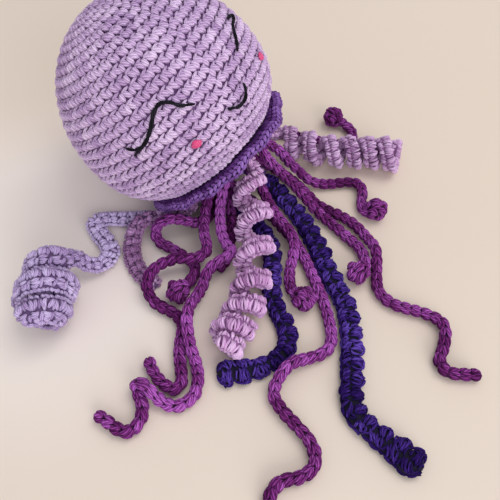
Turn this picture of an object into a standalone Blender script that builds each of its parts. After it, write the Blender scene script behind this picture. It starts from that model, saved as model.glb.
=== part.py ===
"""Crocheted toy jellyfish lying on a table.

A hollow crocheted head is stuffed with fibre and closed by a round base with a
frill. Ten plain cords, four curly strips and two ruffled strips are sewn to the
base and spread out over the table. Lengths are in metres, +Z is up, the table is
z = 0 and the origin is the middle of the footprint.
"""

import math

import bmesh
import bpy
import numpy as np
from mathutils import Vector

MM = 0.001
CLEARANCE = 0.3 * MM

# Head: a body of revolution about HEAD_AXIS, measured from its widest round
HEAD_RADIUS = 51.0 * MM
CROWN_HEIGHT = 55.3 * MM
BASE_HEIGHT = 39.0 * MM
BASE_FULLNESS = 2.4
NECK_HEIGHT = 30.5 * MM
HEAD_AXIS = Vector((0.601, -0.209, -0.771)).normalized()
HEAD_FOOT = Vector((-40.4 * MM, 67.0 * MM, 0.0))
HEAD_MIDDLE = HEAD_FOOT + Vector((3.6 * MM, -1.3 * MM, 50.3 * MM))
WALL = 3.0 * MM
ROUND_COUNT = 24
STITCH_COUNT = 60
RIDGE_HEIGHT = 0.9 * MM
HEAD_SIDES = 36
INNER_STEPS = 8
FACE_STITCH = 57.0

# Base and frill
BASE_THICKNESS = 2.4 * MM
BASE_BULGE = 1.5 * MM
FRILL_WIDTH = 5.6 * MM
FRILL_THICKNESS = 2.4 * MM
FRILL_FLARE = 3.0 * MM
FRILL_WAVE = 0.6 * MM
FRILL_WAVES = 15
FRILL_SIDES = 60

# Face
THREAD_DIAMETER = 1.6 * MM
CHEEK_LENGTH = 4.6 * MM
CHEEK_WIDTH = 3.6 * MM
CHEEK_THICKNESS = 1.2 * MM

# Tentacles
CORD_DIAMETER = 5.6 * MM
CORD_SPACING = 8.0 * MM
KNOB_RADIUS = 6.0 * MM
COIL_SIDES = 8
FLAT_SIDES = 6
STITCH_ROOM = 0.5 * MM
STITCH_REACH = 2.0 * MM

# Face lines as (round from the crown, stitches from the middle of the face)
LEFT_EYE = [(14.9, -10.3), (15.6, -9.2), (15.5, -8.4), (14.7, -7.1), (14.0, -5.9), (14.1, -4.8), (15.0, -4.0),
            (15.7, -3.3)]
LEFT_LASH = [(15.95, -9.15), (16.5, -9.2)]
RIGHT_EYE = [(14.6, 9.2), (13.8, 7.4), (14.1, 6.2), (14.6, 5.1), (15.0, 4.3), (15.8, 3.3)]
SMILE = [(18.1, -1.4), (18.9, -0.7), (19.1, 0.2), (18.8, 0.9), (18.3, 1.3), (17.7, 1.3)]
LEFT_CHEEK = (18.5, -5.1)
RIGHT_CHEEK = (18.3, 6.2)

# Sewn ends on the base, in mm towards its far side and up its slope
# Routes in mm from the point of the table under the head
CORDS = {
    "plain_tentacle_1": dict(sewn=(27, -4), knob=True, route=[
        (43, 20, 10), (51, 25, 4), (60, 27.5, 3), (68, 26, 3), (76, 23, 3), (86, 19.5, 3), (95, 18, 3),
        (101, 20, 3), (104, 25, 3), (102.5, 31, 3), (98, 35.2, 4.2), (93.2, 37.8, 6.2)]),
    "plain_tentacle_2": dict(sewn=(15, 15), knob=True, route=[
        (49, 1.5, 23), (54.5, 4.5, 15), (60, 3, 11.4), (65, -4, 10.2), (70, -9.3, 8.6), (76, -12.8, 5),
        (84, -14, 3), (92, -13, 3), (99, -12.5, 3), (103.5, -14.5, 3), (104.3, -21, 3),
        (103, -28, 3), (104, -34.4, 3.8), (109.6, -34.6, 6.2)]),
    "plain_tentacle_3": dict(sewn=(7, 22), knob=True, route=[
        (49, -9, 26), (53, -9, 17.5), (58, -11.5, 12.8), (63, -16, 10.6), (68, -22, 9.5), (73, -29, 8),
        (77.5, -34, 5.8), (82.5, -38.5, 3.4), (88, -44.5, 3), (94, -52, 3), (99, -58.5, 3),
        (100.5, -65, 3), (99.8, -70.6, 4.2), (95.7, -74.7, 6.2)]),
    "plain_tentacle_4": dict(sewn=(14, 4), knob=False, route=[
        (42, 0, 13), (50, -0.5, 6.5), (58.5, -3.5, 3.4), (66, -10, 3), (72.5, -18.5, 3), (78.5, -27.5, 3),
        (85.5, -33.5, 3), (93, -38, 3), (99.5, -45, 3), (103.5, -53, 4), (105.7, -61, 6.5),
        (106, -68, 4), (105, -76, 3), (105, -83, 3), (109, -89.5, 3), (117, -93.5, 3),
        (126, -96.5, 3), (132, -101, 3), (132.5, -107, 3), (130, -114, 3), (127.3, -120.5, 3),
        (129.5, -125.5, 3), (137, -126.8, 3), (144, -127, 3)]),
    "plain_tentacle_5": dict(sewn=(0, 14), knob=True, route=[
        (42, -16.5, 20.5), (46.5, -20, 14), (50.5, -26, 10), (54, -35, 9), (59, -44.5, 9), (63.5, -52, 9),
        (65.5, -58, 8.5), (64.8, -65, 6), (63, -72, 3.2), (62.7, -79, 3), (64, -84.5, 3.8),
        (68.8, -89.8, 6.2)]),
    "plain_tentacle_6": dict(sewn=(-4, -4), knob=False, route=[
        (28, -15, 11), (38, -21, 5), (48, -29, 3), (56.5, -39, 3), (62, -47, 3), (66, -54, 3),
        (69.5, -61, 3), (72, -68, 3), (74, -75, 3), (76.5, -83, 3), (78.5, -91, 3),
        (80, -99, 3), (80.5, -106, 3), (79.5, -113, 3), (75, -117, 3), (68, -120, 4),
        (61.5, -123.5, 7.2), (56.5, -129, 6.2), (53.5, -136, 3.2), (57, -143, 3), (62, -149, 3),
        (67, -155, 3), (69.5, -161, 3), (68.5, -167, 3), (63, -170.5, 3), (56, -172, 3),
        (52, -175.5, 3), (51, -180, 3), (51, -184, 3)]),
    "plain_tentacle_7": dict(sewn=(-16, 13), knob=False, route=[
        (30, -34, 20.5), (28.5, -40, 15), (28.5, -47, 11.5), (29.5, -54, 9.2), (32, -60, 8.8), (34.6, -64.5, 8.8),
        (32, -68.6, 9), (27, -71.5, 9.2), (23, -76, 8), (20.5, -83, 5), (18.3, -89, 6.5), (16, -95, 8.9),
        (15, -102, 8.9), (15.8, -109, 8), (17.5, -116, 5), (20, -122.5, 3.1), (21, -130, 3),
        (19.5, -136.5, 3), (14, -141, 3), (8, -140.3, 3), (3, -137, 5.6), (-1.5, -133.6, 8.6),
        (-5, -132.6, 6.2), (-3.6, -136.8, 3), (-1.5, -143, 3), (-3, -149.5, 3), (-8, -152.5, 3),
        (-14, -149, 3), (-21, -144.5, 3)]),
    "plain_tentacle_8": dict(sewn=(-21, 6), knob=False, route=[
        (22.5, -36, 17), (21, -41.5, 13.5), (20.5, -47, 10.6), (20.5, -53, 9), (22, -59, 8.8), (21.8, -65, 8.8),
        (17, -68.6, 8.9), (10, -68.5, 8.9), (3, -70.5, 8.9), (-3.5, -76, 8.7), (-5.5, -82.5, 7),
        (-3, -88.5, 4), (3, -93, 3), (9, -96.5, 3), (12.5, -102, 3), (12.3, -109, 3),
        (12, -116, 3), (13, -123, 3), (14, -129, 3), (12.5, -133.5, 3), (7.5, -132, 3),
        (3, -128, 3), (0, -123, 3), (-1.5, -119, 3)]),
    "plain_tentacle_9": dict(sewn=(-12, -5), knob=True, route=[
        (24, -27, 9), (25, -34, 6), (21, -40, 5.4), (15.5, -45.5, 8.4), (9, -47.3, 13), (3, -47.8, 14),
        (-2.5, -48.5, 10.5), (-4.5, -50.5, 5.8), (-2.3, -54, 3), (3, -57.5, 3), (10, -62.5, 3),
        (15.5, -67, 3), (16.5, -73, 3), (13.6, -79.6, 3.8), (9.6, -85.8, 6.2)]),
    "plain_tentacle_10": dict(sewn=(-9, 12), knob=False, route=[
        (33, -26, 20), (33.5, -33, 13), (33.8, -40, 8), (34, -50, 4.8), (33, -58, 3), (31, -66, 3),
        (27.5, -71.5, 3)]),
}

# Curly strips: the sewn end, the lead-in, then one point of the coil's axis for each turn
CURLS = {
    "curly_tentacle_left": dict(
        sewn=(-26, -15), half_width=4.3, half_thickness=2.1, coil_radius=11.2, coil_width=5.8,
        coil_thickness=2.6, start_turn=0.14, lead=[
            (5, -34, 6), (1.5, -36.4, 3), (-4, -37.2, 2.4), (-12, -37.5, 2.4), (-22, -38, 2.4),
            (-31, -38.5, 3), (-36.5, -41.5, 4.4), (-34, -48, 3), (-29, -54, 2.6), (-26.5, -61, 2.6),
            (-29.5, -67.5, 3.4), (-35, -70.5, 7), (-39.5, -71.5, 14)],
        axis=[(-49.3, -72.5, 14.1), (-49.6, -87, 14.1), (-50, -101.5, 14.1)], end_turn=2.05),
    "curly_tentacle_middle": dict(
        sewn=(-9, 22), half_width=3.2, half_thickness=3.0, coil_radius=5.6, coil_width=4.0,
        coil_thickness=3.8, start_turn=0.0, lead=[(43.5, -24, 30)],
        axis=[(43, -28.5, 24.5), (45, -45, 16.5), (46, -64, 13.8), (44.8, -82, 12), (42, -95, 10.8),
              (37.5, -106, 10), (32.5, -114.5, 9.8)], end_turn=6.3),
    "curly_tentacle_right": dict(
        sewn=(24, 8), half_width=3.2, half_thickness=2.8, coil_radius=5.4, coil_width=3.6,
        coil_thickness=3.7, start_turn=0.1, lead=[(48, 10, 20), (54.5, 13, 14.5)],
        axis=[(62, 13, 12), (73.5, 9.5, 9.8), (85, 5.5, 9.7), (96, 4.5, 9.7), (106, 4, 9.7),
              (115.5, 3, 10), (123, 2, 10.4)], end_turn=5.7),
    "curly_tentacle_short": dict(
        sewn=(-24, -6), half_width=3.5, half_thickness=2.0, lead=[
            (15, -35.5, 13.5), (9, -39.3, 9.4), (2, -41, 7.8), (-5, -41, 7.3), (-10, -42, 7.2), (-14.5, -46, 6),
            (-16, -52, 3.6), (-16, -59, 2.4), (-13.5, -67, 2.3), (-8.5, -74.5, 2.3), (-1, -80, 2.3)]),
}

# Ruffled strips: a flat strip whose right edge is crowded into scallops
RUFFLES = {
    "ruffled_tentacle_right": dict(sewn=(4, 5), half_width=4.6, half_thickness=2.6, scallop=2.9, end_width=6.2, route=[
        (39, -9.5, 14.5), (48, -12, 7), (55.5, -16.5, 4), (61, -24, 3), (66.5, -33, 2.8), (71.5, -42, 2.8),
        (75, -51, 2.8), (78.2, -61, 2.8), (80.8, -71, 2.8), (84.3, -81, 2.8), (87.6, -90, 2.8),
        (88.9, -100, 2.8), (89, -110, 2.8), (88, -120, 2.8), (87, -130, 2.8), (86, -139, 2.8),
        (88, -146.5, 2.8), (94, -153, 2.8), (102, -160, 2.8), (111, -168.3, 3)]),
    "ruffled_tentacle_left": dict(sewn=(-11, 4), half_width=4.2, half_thickness=2.4, scallop=1.6, end_width=6.0, route=[
        (30, -25, 12.5), (36.5, -31, 6), (43, -38, 3.4), (49, -46, 2.6), (52.8, -53, 2.6), (54.2, -62, 2.6),
        (54, -72, 2.6), (53.4, -82, 2.6), (54.8, -91, 2.6), (58.4, -100, 2.6), (60.4, -108, 2.6),
        (58.5, -115, 2.6), (53, -120.5, 2.6), (45.5, -123.6, 2.6), (37, -125, 2.6), (29, -126, 3)]),
}
SCALLOP_PITCH = 7.4 * MM
SCALLOP_STEPS = 3


def clear_scene():
    """Remove every object of the scene."""
    for item in list(bpy.data.objects):
        bpy.data.objects.remove(item, do_unlink=True)


def make_material(name, colour, roughness=0.9):
    """Return a plain matt material."""
    material = bpy.data.materials.new(name)
    material.use_nodes = True
    shader = material.node_tree.nodes["Principled BSDF"]
    shader.inputs["Base Color"].default_value = (*colour, 1.0)
    shader.inputs["Roughness"].default_value = roughness
    shader.inputs["Metallic"].default_value = 0.0
    return material


def add_mesh(name, points, faces, material):
    """Add a closed mesh as an object, smooth shaded."""
    mesh = bpy.data.meshes.new(name)
    mesh.from_pydata([tuple(point) for point in points], [], faces)
    work = bmesh.new()
    work.from_mesh(mesh)
    bmesh.ops.recalc_face_normals(work, faces=work.faces)
    work.to_mesh(mesh)
    work.free()
    mesh.shade_smooth()
    mesh.materials.append(material)
    item = bpy.data.objects.new(name, mesh)
    bpy.context.scene.collection.objects.link(item)
    return item


def head_frame():
    """Return the axis and the two directions across it: up its slope and to its far side."""
    axis = HEAD_AXIS
    up = (Vector((0, 0, 1)) - axis * axis.z).normalized()
    side = up.cross(axis).normalized()
    return axis, up, side


def head_outline(step_count, inset=0.0):
    """Return (height, radius) pairs from the crown to the neck, evenly spaced along the outline.

    The crown is half an ellipse and the lower part is a fuller curve, both moved
    inwards by the inset along their own normal.
    """
    crown = np.linspace(0, math.pi / 2, 400)
    lower = np.linspace(0, NECK_HEIGHT, 400)[1:]
    heights = np.concatenate([-CROWN_HEIGHT * np.cos(crown), lower])
    swell = (1 - (lower / BASE_HEIGHT) ** BASE_FULLNESS) ** (1 / BASE_FULLNESS)
    radii = np.concatenate([HEAD_RADIUS * np.sin(crown), HEAD_RADIUS * swell])
    slope_h = np.gradient(heights)
    slope_r = np.gradient(radii)
    length = np.hypot(slope_h, slope_r)
    heights = heights + inset * slope_r / length
    radii = radii - inset * slope_h / length
    radii[0] = 0.0
    keep = heights <= NECK_HEIGHT
    heights = heights[keep]
    radii = radii[keep]
    run = np.concatenate([[0], np.cumsum(np.hypot(np.diff(heights), np.diff(radii)))])
    wanted = np.linspace(0, run[-1], step_count + 1)
    return np.column_stack([np.interp(wanted, run, heights), np.interp(wanted, run, radii)])


def around_head(height, radius, turn):
    """Return the point at a height along the head's axis, a radius and a turn about it."""
    axis, up, side = head_frame()
    return HEAD_MIDDLE + axis * height + up * (radius * math.cos(turn)) + side * (radius * math.sin(turn))


def revolve(name, outline, sides, material):
    """Revolve a closed outline that starts and ends on the axis into one solid."""
    points = [around_head(outline[0][0], 0, 0)]
    for height, radius in outline[1:-1]:
        points += [around_head(height, radius, 2 * math.pi * i / sides) for i in range(sides)]
    points.append(around_head(outline[-1][0], 0, 0))
    faces = [(0, 1 + i, 1 + (i + 1) % sides) for i in range(sides)]
    for ring in range(len(outline) - 3):
        first = 1 + ring * sides
        second = first + sides
        for i in range(sides):
            j = (i + 1) % sides
            faces.append((first + i, second + i, second + j, first + j))
    start = 1 + (len(outline) - 3) * sides
    last = len(points) - 1
    faces += [(start + (i + 1) % sides, start + i, last) for i in range(sides)]
    return add_mesh(name, points, faces, material)


def shifted(outline, lift):
    """Return an outline moved outwards along its own normal by a lift for each point."""
    slope = np.gradient(outline, axis=0)
    length = np.hypot(slope[:, 0], slope[:, 1])
    normal = np.column_stack([-slope[:, 1], slope[:, 0]]) / length[:, None]
    moved = outline + normal * np.reshape(lift, (-1, 1))
    moved[0, 1] = 0.0
    return moved


def ridged_outline():
    """Return the head's outer outline, with a ridge for each crocheted round."""
    outline = head_outline(2 * ROUND_COUNT)
    lift = np.where(np.arange(len(outline)) % 2 == 1, RIDGE_HEIGHT / 2, -RIDGE_HEIGHT / 2)
    lift[0] = 0.0
    lift[-1] = 0.0
    return shifted(outline, lift)


def build_head(shell_material, filling_material):
    """Build the crocheted shell, open at the neck, and the fibre filling inside it."""
    outer = ridged_outline()
    inner = head_outline(INNER_STEPS, WALL)
    revolve("head_shell", np.vstack([outer, inner[::-1]]), HEAD_SIDES, shell_material)
    body = shifted(inner, np.full(len(inner), -CLEARANCE))
    height, radius = body[-1]
    swell = BASE_BULGE + CLEARANCE
    dome = [(height + 0.75 * swell, radius / 2), (height + swell, 0.0)]
    revolve("head_filling", np.vstack([body, dome]), HEAD_SIDES, filling_material)


def base_outline(lift, radius, steps):
    """Return the domed face of the base from a radius in to the axis, at a lift below the neck."""
    rows = []
    for step in range(steps + 1):
        r = radius * (1 - step / steps)
        rows.append((NECK_HEIGHT + lift + BASE_BULGE * (1 - (r / base_radius()) ** 2), r))
    return np.array(rows)


def base_radius():
    """Return the radius of the base, which meets the frill inside the neck's outer edge."""
    return head_outline(2 * ROUND_COUNT)[-1][1] - 0.6 * MM


def build_base(material):
    """Build the round base that closes the neck."""
    inner = base_outline(CLEARANCE, base_radius(), 3)[::-1]
    outer = base_outline(CLEARANCE + BASE_THICKNESS, base_radius(), 3)
    revolve("base_disc", np.vstack([inner, outer]), HEAD_SIDES, material)


def build_frill(material):
    """Build the frill round the base; where it meets the table it lies flat on it."""
    axis = HEAD_AXIS
    rows = 4
    centres = np.zeros((rows, FRILL_SIDES, 3))
    root_radius = base_radius() + CLEARANCE
    root_height = NECK_HEIGHT + CLEARANCE + FRILL_THICKNESS / 2
    for row in range(rows):
        out = row / (rows - 1)
        for i in range(FRILL_SIDES):
            turn = 2 * math.pi * i / FRILL_SIDES
            wave = FRILL_WAVE * out * math.sin(FRILL_WAVES * turn)
            height = root_height + FRILL_FLARE * out ** 1.5 + wave
            centres[row, i] = around_head(height, root_radius + FRILL_WIDTH * out, turn)
    around = np.roll(centres, -1, axis=1) - np.roll(centres, 1, axis=1)
    across = np.gradient(centres, axis=0)
    normal = np.cross(around, across)
    normal /= np.linalg.norm(normal, axis=2)[..., None]
    if np.sum(normal[0, 0] * np.array(axis)) < 0:
        normal = -normal
    normal[0] = np.array(axis)
    lower = centres + normal * FRILL_THICKNESS / 2
    upper = centres - normal * FRILL_THICKNESS / 2
    lower[..., 2] = np.maximum(lower[..., 2], 0.0)
    upper[..., 2] = np.maximum(upper[..., 2], FRILL_THICKNESS)
    rim = centres[-1] + (centres[-1] - centres[-2]) * 0.5
    rim[:, 2] = np.maximum(rim[:, 2], FRILL_THICKNESS / 2)
    loops = [lower[0], lower[1], lower[2], lower[3], rim, upper[3], upper[2], upper[1], upper[0]]
    points = np.concatenate(loops)
    faces = []
    for k in range(len(loops)):
        first = k * FRILL_SIDES
        second = ((k + 1) % len(loops)) * FRILL_SIDES
        for i in range(FRILL_SIDES):
            j = (i + 1) % FRILL_SIDES
            faces.append((first + i, first + j, second + j, second + i))
    return add_mesh("collar_frill", points, faces, material)


def on_head(round_number, stitch, lift):
    """Return the point of the head's surface at a round and a stitch, raised by a lift."""
    outline = head_outline(ROUND_COUNT * 10)
    slope = np.gradient(outline, axis=0)
    index = round_number * 10
    low = int(index)
    share = index - low
    height, radius = outline[low] * (1 - share) + outline[low + 1] * share
    d_height, d_radius = slope[low] / np.hypot(*slope[low])
    turn = 2 * math.pi * (FACE_STITCH + stitch) / STITCH_COUNT
    return around_head(height - d_radius * lift, radius + d_height * lift, turn)


def smooth_route(points, spacing):
    """Return points at an even spacing on a smooth curve through the route's own points.

    Each span is a cubic whose end slopes come from the neighbouring points, with the
    square root of the chord as its parameter.
    """
    route = [Vector(point) for point in points]
    route = [route[0] * 2 - route[1]] + route + [route[-1] * 2 - route[-2]]
    fine = []
    for i in range(1, len(route) - 2):
        p0, p1, p2, p3 = route[i - 1:i + 3]
        t1 = max((p1 - p0).length, 1e-6) ** 0.5
        t2 = t1 + max((p2 - p1).length, 1e-6) ** 0.5
        t3 = t2 + max((p3 - p2).length, 1e-6) ** 0.5
        for k in range(24):
            t = t1 + (t2 - t1) * k / 24
            a1 = p0 * ((t1 - t) / t1) + p1 * (t / t1)
            a2 = p1 * ((t2 - t) / (t2 - t1)) + p2 * ((t - t1) / (t2 - t1))
            a3 = p2 * ((t3 - t) / (t3 - t2)) + p3 * ((t - t2) / (t3 - t2))
            b1 = a1 * ((t2 - t) / t2) + a2 * (t / t2)
            b2 = a2 * ((t3 - t) / (t3 - t1)) + a3 * ((t - t1) / (t3 - t1))
            fine.append(b1 * ((t2 - t) / (t2 - t1)) + b2 * ((t - t1) / (t2 - t1)))
    fine.append(route[-2])
    fine = np.array([tuple(point) for point in fine])
    return resample(fine, spacing)


def resample(line, spacing):
    """Return the line with points at an even spacing."""
    run = np.concatenate([[0], np.cumsum(np.linalg.norm(np.diff(line, axis=0), axis=1))])
    count = max(2, round(run[-1] / spacing) + 1)
    wanted = np.linspace(0, run[-1], count)
    return np.column_stack([np.interp(wanted, run, line[:, k]) for k in range(3)])


def sewn_points(sewn, reach):
    """Return the sewn end on the base's outer face and a point straight out from it."""
    axis, up, side = head_frame()
    across, along = sewn[0] * MM, sewn[1] * MM
    r = math.hypot(across, along)
    height = NECK_HEIGHT + CLEARANCE + BASE_THICKNESS + BASE_BULGE * (1 - (r / base_radius()) ** 2)
    foot = HEAD_MIDDLE + axis * (height + STITCH_ROOM) + up * along + side * across
    return [tuple(foot), tuple(foot + axis * reach)]


def place(points):
    """Turn a route in mm from the point under the head into metres."""
    return [tuple(HEAD_FOOT + Vector(point) * MM) for point in points]


def sewn_line(sewn, route, spacing):
    """Return the evenly spaced line of a tentacle that stands straight up from the base."""
    start = sewn_points(sewn, 5 * MM)
    line = smooth_route(start + route, spacing)
    straight = Vector(start[0]) + HEAD_AXIS * STITCH_REACH
    return np.vstack([line[:1], [tuple(straight)], line[1:]])


def build_cord(name, sewn, knob, route, material):
    """Build one plain cord as a tube, with its end drawn up into a knob where it has one."""
    line = sewn_line(sewn, place(route), CORD_SPACING)
    radii = np.ones(len(line))
    if knob:
        line, radii = add_knob(line)
    curve = bpy.data.curves.new(name, "CURVE")
    curve.dimensions = "3D"
    curve.bevel_depth = CORD_DIAMETER / 2
    curve.bevel_resolution = 2
    curve.use_fill_caps = True
    spline = curve.splines.new("POLY")
    spline.points.add(len(line) - 1)
    for point, position, radius in zip(spline.points, line, radii):
        point.co = (*position, 1.0)
        point.radius = radius
    curve.materials.append(material)
    item = bpy.data.objects.new(name, curve)
    bpy.context.scene.collection.objects.link(item)
    return item


def add_knob(line):
    """Swap the end of a cord's line for a round knob and return the line and its radii."""
    last = Vector(line[-1])
    heading = (last - Vector(line[-2])).normalized()
    centre = last
    keep = [point for point in line if (Vector(point) - centre).length > KNOB_RADIUS * 1.25]
    radii = [1.0] * len(keep)
    for share in (-0.86, -0.5, 0.0, 0.5, 0.86):
        keep.append(tuple(centre + heading * (KNOB_RADIUS * share)))
        radii.append(math.sqrt(1 - share ** 2) * KNOB_RADIUS / (CORD_DIAMETER / 2))
    return np.array(keep), np.array(radii)


def sweep_strip(name, line, out, half_width, half_thickness, material, sides, grow=None):
    """Sweep an oval section along a line.

    The width lies along the out vectors and the thickness across them. The optional
    grow list lengthens the width on the out side at each ring.
    """
    line = np.asarray(line)
    tangent = np.gradient(line, axis=0)
    tangent /= np.linalg.norm(tangent, axis=1)[:, None]
    out = out - tangent * np.sum(out * tangent, axis=1)[:, None]
    out /= np.linalg.norm(out, axis=1)[:, None]
    across = np.cross(tangent, out)
    count = len(line)
    grow = np.zeros(count) if grow is None else grow
    points = []
    for i in range(count):
        for k in range(sides):
            turn = 2 * math.pi * (k + 0.5) / sides
            reach = half_width[i] + (grow[i] if math.cos(turn) > 0 else 0)
            rise = half_thickness[i] * math.sin(turn)
            points.append(line[i] + out[i] * (reach * math.cos(turn)) + across[i] * rise)
    start = line[0]
    end = line[-1] + tangent[-1] * half_thickness[-1] * 0.5
    points += [start, end]
    first_cap = count * sides
    faces = [(k, (k + 1) % sides, first_cap) for k in range(sides)]
    for i in range(count - 1):
        a = i * sides
        b = a + sides
        for k in range(sides):
            j = (k + 1) % sides
            faces.append((a + k, b + k, b + j, a + j))
    tail = (count - 1) * sides
    faces += [(tail + k, first_cap + 1, tail + (k + 1) % sides) for k in range(sides)]
    return add_mesh(name, points, faces, material)


def coil_points(axis, radius, start_turn, end_turn, per_turn):
    """Return points of a right-handed coil and their outward directions.

    Each point of the axis is one whole turn on from the last, so the coil is
    stretched where the axis points lie far apart.
    """
    knots = np.array([tuple(point) for point in place(axis)])
    turns = np.arange(len(knots))
    count = int((end_turn - start_turn) * per_turn) + 1
    turn = np.linspace(start_turn, end_turn, count)
    centre = smooth_knots(knots, turns, turn)
    tangent = np.gradient(centre, axis=0)
    tangent /= np.linalg.norm(tangent, axis=1)[:, None]
    level = np.cross(np.array([0, 0, 1.0]), tangent)
    level /= np.linalg.norm(level, axis=1)[:, None]
    lift = np.cross(tangent, level)
    angle = 2 * math.pi * turn
    out = level * np.cos(angle)[:, None] + lift * np.sin(angle)[:, None]
    reach = radius * np.clip(0.8 + 0.3 * (turn - start_turn), 0, 1)
    return centre + out * reach[:, None], out, centre


def smooth_knots(knots, stations, wanted):
    """Return a smooth curve through knots at given stations."""
    slopes = np.gradient(knots, stations, axis=0)
    result = np.zeros((len(wanted), 3))
    for i, value in enumerate(wanted):
        k = int(np.clip(np.searchsorted(stations, value) - 1, 0, len(stations) - 2))
        span = stations[k + 1] - stations[k]
        t = (value - stations[k]) / span
        h0 = 2 * t ** 3 - 3 * t ** 2 + 1
        h1 = t ** 3 - 2 * t ** 2 + t
        h2 = -2 * t ** 3 + 3 * t ** 2
        h3 = t ** 3 - t ** 2
        result[i] = h0 * knots[k] + h1 * span * slopes[k] + h2 * knots[k + 1] + h3 * span * slopes[k + 1]
    return result


def level_out(line):
    """Return level directions to the right of a line's run."""
    tangent = np.gradient(line, axis=0)
    out = np.cross(tangent, np.array([0, 0, 1.0]))
    out[:, 2] = 0
    length = np.linalg.norm(out, axis=1)[:, None]
    return out / np.maximum(length, 1e-9)


def narrow_start(count, value):
    """Return half sizes in metres that widen from a sewn end of 2.6 mm to their full value."""
    ramp = np.clip((np.arange(count) - 1) / 3, 0, 1)
    return (2.6 + (value - 2.6) * ramp) * MM


def build_curl(name, material, sewn, half_width, half_thickness, lead, coil_radius=None, coil_width=None,
               coil_thickness=None, start_turn=0.0, axis=None, end_turn=0.0):
    """Build a curly strip: a flat lead-in that runs into a coil, as one oval sweep."""
    if axis is None:
        line = sewn_line(sewn, place(lead), 6 * MM)
        width = narrow_start(len(line), half_width)
        thick = np.full(len(line), half_thickness * MM)
        return sweep_strip(name, line, level_out(line), width, thick, material, COIL_SIDES)
    coil, coil_out, centre = coil_points(axis, coil_radius * MM, start_turn, end_turn, 9)
    line = sewn_line(sewn, place(lead) + [tuple(coil[0]), tuple(coil[1])], 5.5 * MM)
    nearest = int(np.argmin(np.linalg.norm(line - coil[0], axis=1)))
    lead_out = level_out(line)[:nearest]
    line = np.vstack([line[:nearest], coil])
    wide = coil_out
    if coil_width > 1.5 * coil_thickness:
        run = np.gradient(centre, axis=0)
        wide = -run / np.linalg.norm(run, axis=1)[:, None]
    if np.dot(lead_out[-1], wide[0]) < 0:
        lead_out = -lead_out
    out = np.vstack([lead_out, wide])
    blend = np.clip((np.arange(len(line)) - nearest + 4) / 6, 0, 1)
    for i in range(max(0, nearest - 4), nearest):
        out[i] = out[i] * (1 - blend[i]) + wide[0] * blend[i]
    lead_width = narrow_start(len(line), half_width)
    taper = np.clip((len(line) - 1 - np.arange(len(line))) / 3 + 0.55, 0, 1)
    width = (lead_width * (1 - blend) + coil_width * MM * blend) * taper
    thick = (half_thickness + (coil_thickness - half_thickness) * blend) * MM * taper
    return sweep_strip(name, line, out, width, thick, material, COIL_SIDES)


def build_ruffle(name, material, sewn, half_width, half_thickness, scallop, end_width, route):
    """Build a ruffled strip, whose right edge swells into one scallop after another.

    Its last stitches gather into a broader end.
    """
    step = SCALLOP_PITCH / SCALLOP_STEPS
    line = sewn_line(sewn, place(route), step)
    out = -level_out(line)
    count = len(line)
    index = np.arange(count)
    ramp = np.clip((index - 3) / 6, 0, 1)
    ends = np.minimum(1.0, 0.7 + (count - 1 - index) / 4)
    swell = np.clip((index - count + 9) / 5, 0, 1)
    width = (2.6 + (half_width - 2.6) * ramp + (end_width - half_width) * swell) * MM * ends
    thick = (2.2 + (half_thickness - 2.2) * ramp) * MM * ends
    bump = np.abs(np.sin(math.pi * index / SCALLOP_STEPS + 0.4))
    grow = scallop * MM * bump * ramp * ends * (1 - 0.6 * swell)
    return sweep_strip(name, line, out, width, thick, material, FLAT_SIDES, grow)


def build_thread(name, knots, material):
    """Build one embroidered line that lies on the head's ridges."""
    radius = THREAD_DIAMETER / 2
    lift = RIDGE_HEIGHT / 2 + CLEARANCE + radius
    line = smooth_route([tuple(on_head(row, stitch, lift)) for row, stitch in knots], 1.6 * THREAD_DIAMETER)
    centre = np.array(tuple(HEAD_MIDDLE))
    out = line - centre
    size = np.full(len(line), radius)
    size[0] *= 0.7
    size[-1] *= 0.7
    return sweep_strip(name, line, out, size, size, material, FLAT_SIDES)


def build_cheek(name, place_on_head, material):
    """Build one cheek, a few pink stitches that lie side by side as a small pad."""
    row, stitch = place_on_head
    lift = RIDGE_HEIGHT / 2 + 2 * CLEARANCE
    middle = on_head(row, stitch, lift)
    outward = (on_head(row, stitch, lift + MM) - middle).normalized()
    along = (on_head(row, stitch + 0.3, lift) - middle).normalized()
    across = outward.cross(along).normalized()
    rings = 3
    sides = 12
    points = [middle + outward * CHEEK_THICKNESS]
    for ring in range(1, rings + 1):
        rise = math.cos(math.pi / 2 * ring / rings) * CHEEK_THICKNESS
        spread = math.sin(math.pi / 2 * ring / rings)
        for i in range(sides):
            turn = 2 * math.pi * i / sides
            x = CHEEK_LENGTH / 2 * spread * math.cos(turn)
            y = CHEEK_WIDTH / 2 * spread * math.sin(turn)
            sag = (x * x + y * y) / (2 * HEAD_RADIUS)
            points.append(middle + along * x + across * y + outward * (rise - sag))
    points.append(middle)
    faces = [(0, 1 + i, 1 + (i + 1) % sides) for i in range(sides)]
    for ring in range(rings - 1):
        a = 1 + ring * sides
        for i in range(sides):
            j = (i + 1) % sides
            faces.append((a + i, a + sides + i, a + sides + j, a + j))
    last = len(points) - 1
    a = 1 + (rings - 1) * sides
    faces += [(a + (i + 1) % sides, a + i, last) for i in range(sides)]
    return add_mesh(name, points, faces, material)


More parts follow.
